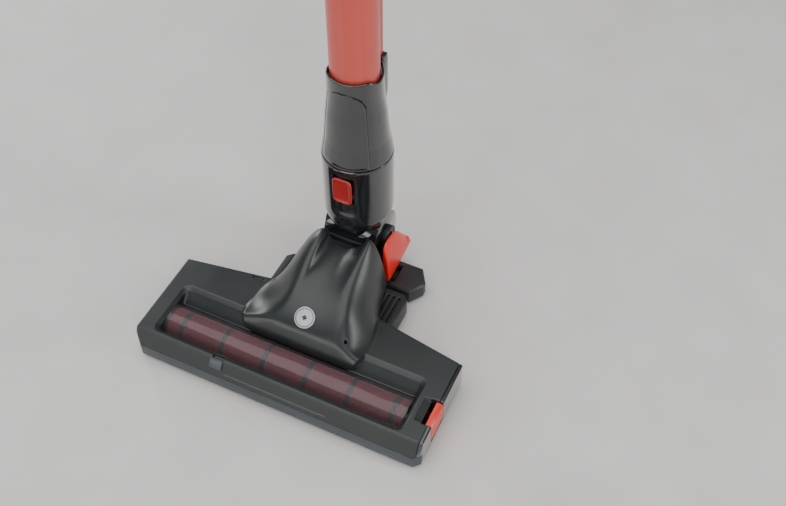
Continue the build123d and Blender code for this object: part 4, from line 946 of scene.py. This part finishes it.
def tubeRows():
    # tube with its rear channel as one drawn section
    radius, half, corner = tube["radius"], channel["half"], channel["corner"]
    back = wandY + channel["reach"] - corner
    start = math.asin(half / radius)
    turns = 60
    outline = []
    for k in range(turns + 1):
        turn = start + (2 * math.pi - 2 * start) * k / turns
        outline.append((radius * math.sin(turn), wandY + radius * math.cos(turn)))
    outline.append((-half, back - 2))
    for side, first, step in ((-1, 0, 15), (1, 90, -15)):
        for k in range(7):
            turn = math.radians(first + step * k)
            outline.append((side * (half - corner + corner * math.cos(turn)), back + corner * math.sin(turn)))
    outline.append((half, back - 2))
    return [[(x, y, z) for x, y in outline] for z in (tube["foot"], tube["top"])]


tubeSkin = gridPiece("tube_skin", tubeRows(), wandRed, "wand", levels=0)
cut(tubeSkin, prismTool(circleOutline(0, wandY, tube["bore"], 96), 150, 400))
roomSpan = wandY + channel["roomFront"], wandY + channel["roomRear"]
cut(tubeSkin, prismTool(boxOutline(-channel["roomHalf"], channel["roomHalf"], *roomSpan), 150, 400))
refinish(tubeSkin, wandRed)
smoothPiece(tubeSkin, 40)
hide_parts("wand_tube")
print("collar, fitting and tube made")

# floor, lights and camera
floorSize = 4
floorMesh = bmesh.new()
bmesh.ops.create_grid(floorMesh, x_segments=2, y_segments=2, size=floorSize)
floorData = bpy.data.meshes.new("floor")
floorMesh.to_mesh(floorData)
floorMesh.free()
floor = bpy.data.objects.new("floor", floorData)
bpy.context.scene.collection.objects.link(floor)
floorFinish = moulded("pale floor", {
    "dark": (0.72, 0.7, 0.68), "light": (0.78, 0.76, 0.74), "rough": (0.5, 0.65), "grain": 0.05,
})
floorData.materials.append(floorFinish)

# place and size in metres, power in watts
lights = {
    "top": {"at": (-0.3, -0.2, 2.2), "size": (2.4, 2.4), "power": 38},
    "front": {"at": (-0.4, -1.9, 0.55), "size": (2.2, 0.6), "power": 15},
    "right strip": {"at": (1.5, 0.25, 0.55), "size": (0.3, 1.3), "power": 10},
    "left strip": {"at": (-1.3, 0.9, 0.6), "size": (0.3, 1.4), "power": 8},
    "near strip": {"at": (1.15, -1.25, 1.0), "size": (0.16, 1.2), "power": 7},
}
lightAim = Vector((0, 0, 0.08))
for name, look in lights.items():
    lamp = bpy.data.lights.new(name, "AREA")
    lamp.shape = "RECTANGLE"
    lamp.size, lamp.size_y = look["size"]
    lamp.energy = look["power"]
    holder = bpy.data.objects.new(name, lamp)
    holder.location = look["at"]
    aim = lightAim - Vector(look["at"])
    holder.rotation_euler = aim.to_track_quat("-Z", "Y").to_euler()
    bpy.context.scene.collection.objects.link(holder)

world = bpy.data.worlds.new("soft room")
world.use_nodes = True
sky = world.node_tree.nodes["Background"].inputs
sky["Color"].default_value = (0.9, 0.93, 0.97, 1)
sky["Strength"].default_value = 0.22
bpy.context.scene.world = world

cameraLook = {"at": (0.2614, -0.42953, 0.7038), "right": (0.9055, 0.4243, 0.0021),
              "up": (-0.3295, 0.7000, 0.6336), "back": (0.2673, -0.5744, 0.7737), "lens": 46.25}
cameraData = bpy.data.cameras.new("camera")
cameraData.lens = cameraLook["lens"]
cameraData.sensor_width = 36
camera = bpy.data.objects.new("camera", cameraData)
turn = Matrix((cameraLook["right"], cameraLook["up"], cameraLook["back"])).transposed()
camera.rotation_mode = "QUATERNION"
camera.rotation_quaternion = turn.to_quaternion()
camera.location = cameraLook["at"]
bpy.context.scene.collection.objects.link(camera)
bpy.context.scene.camera = camera

print("scene ready")
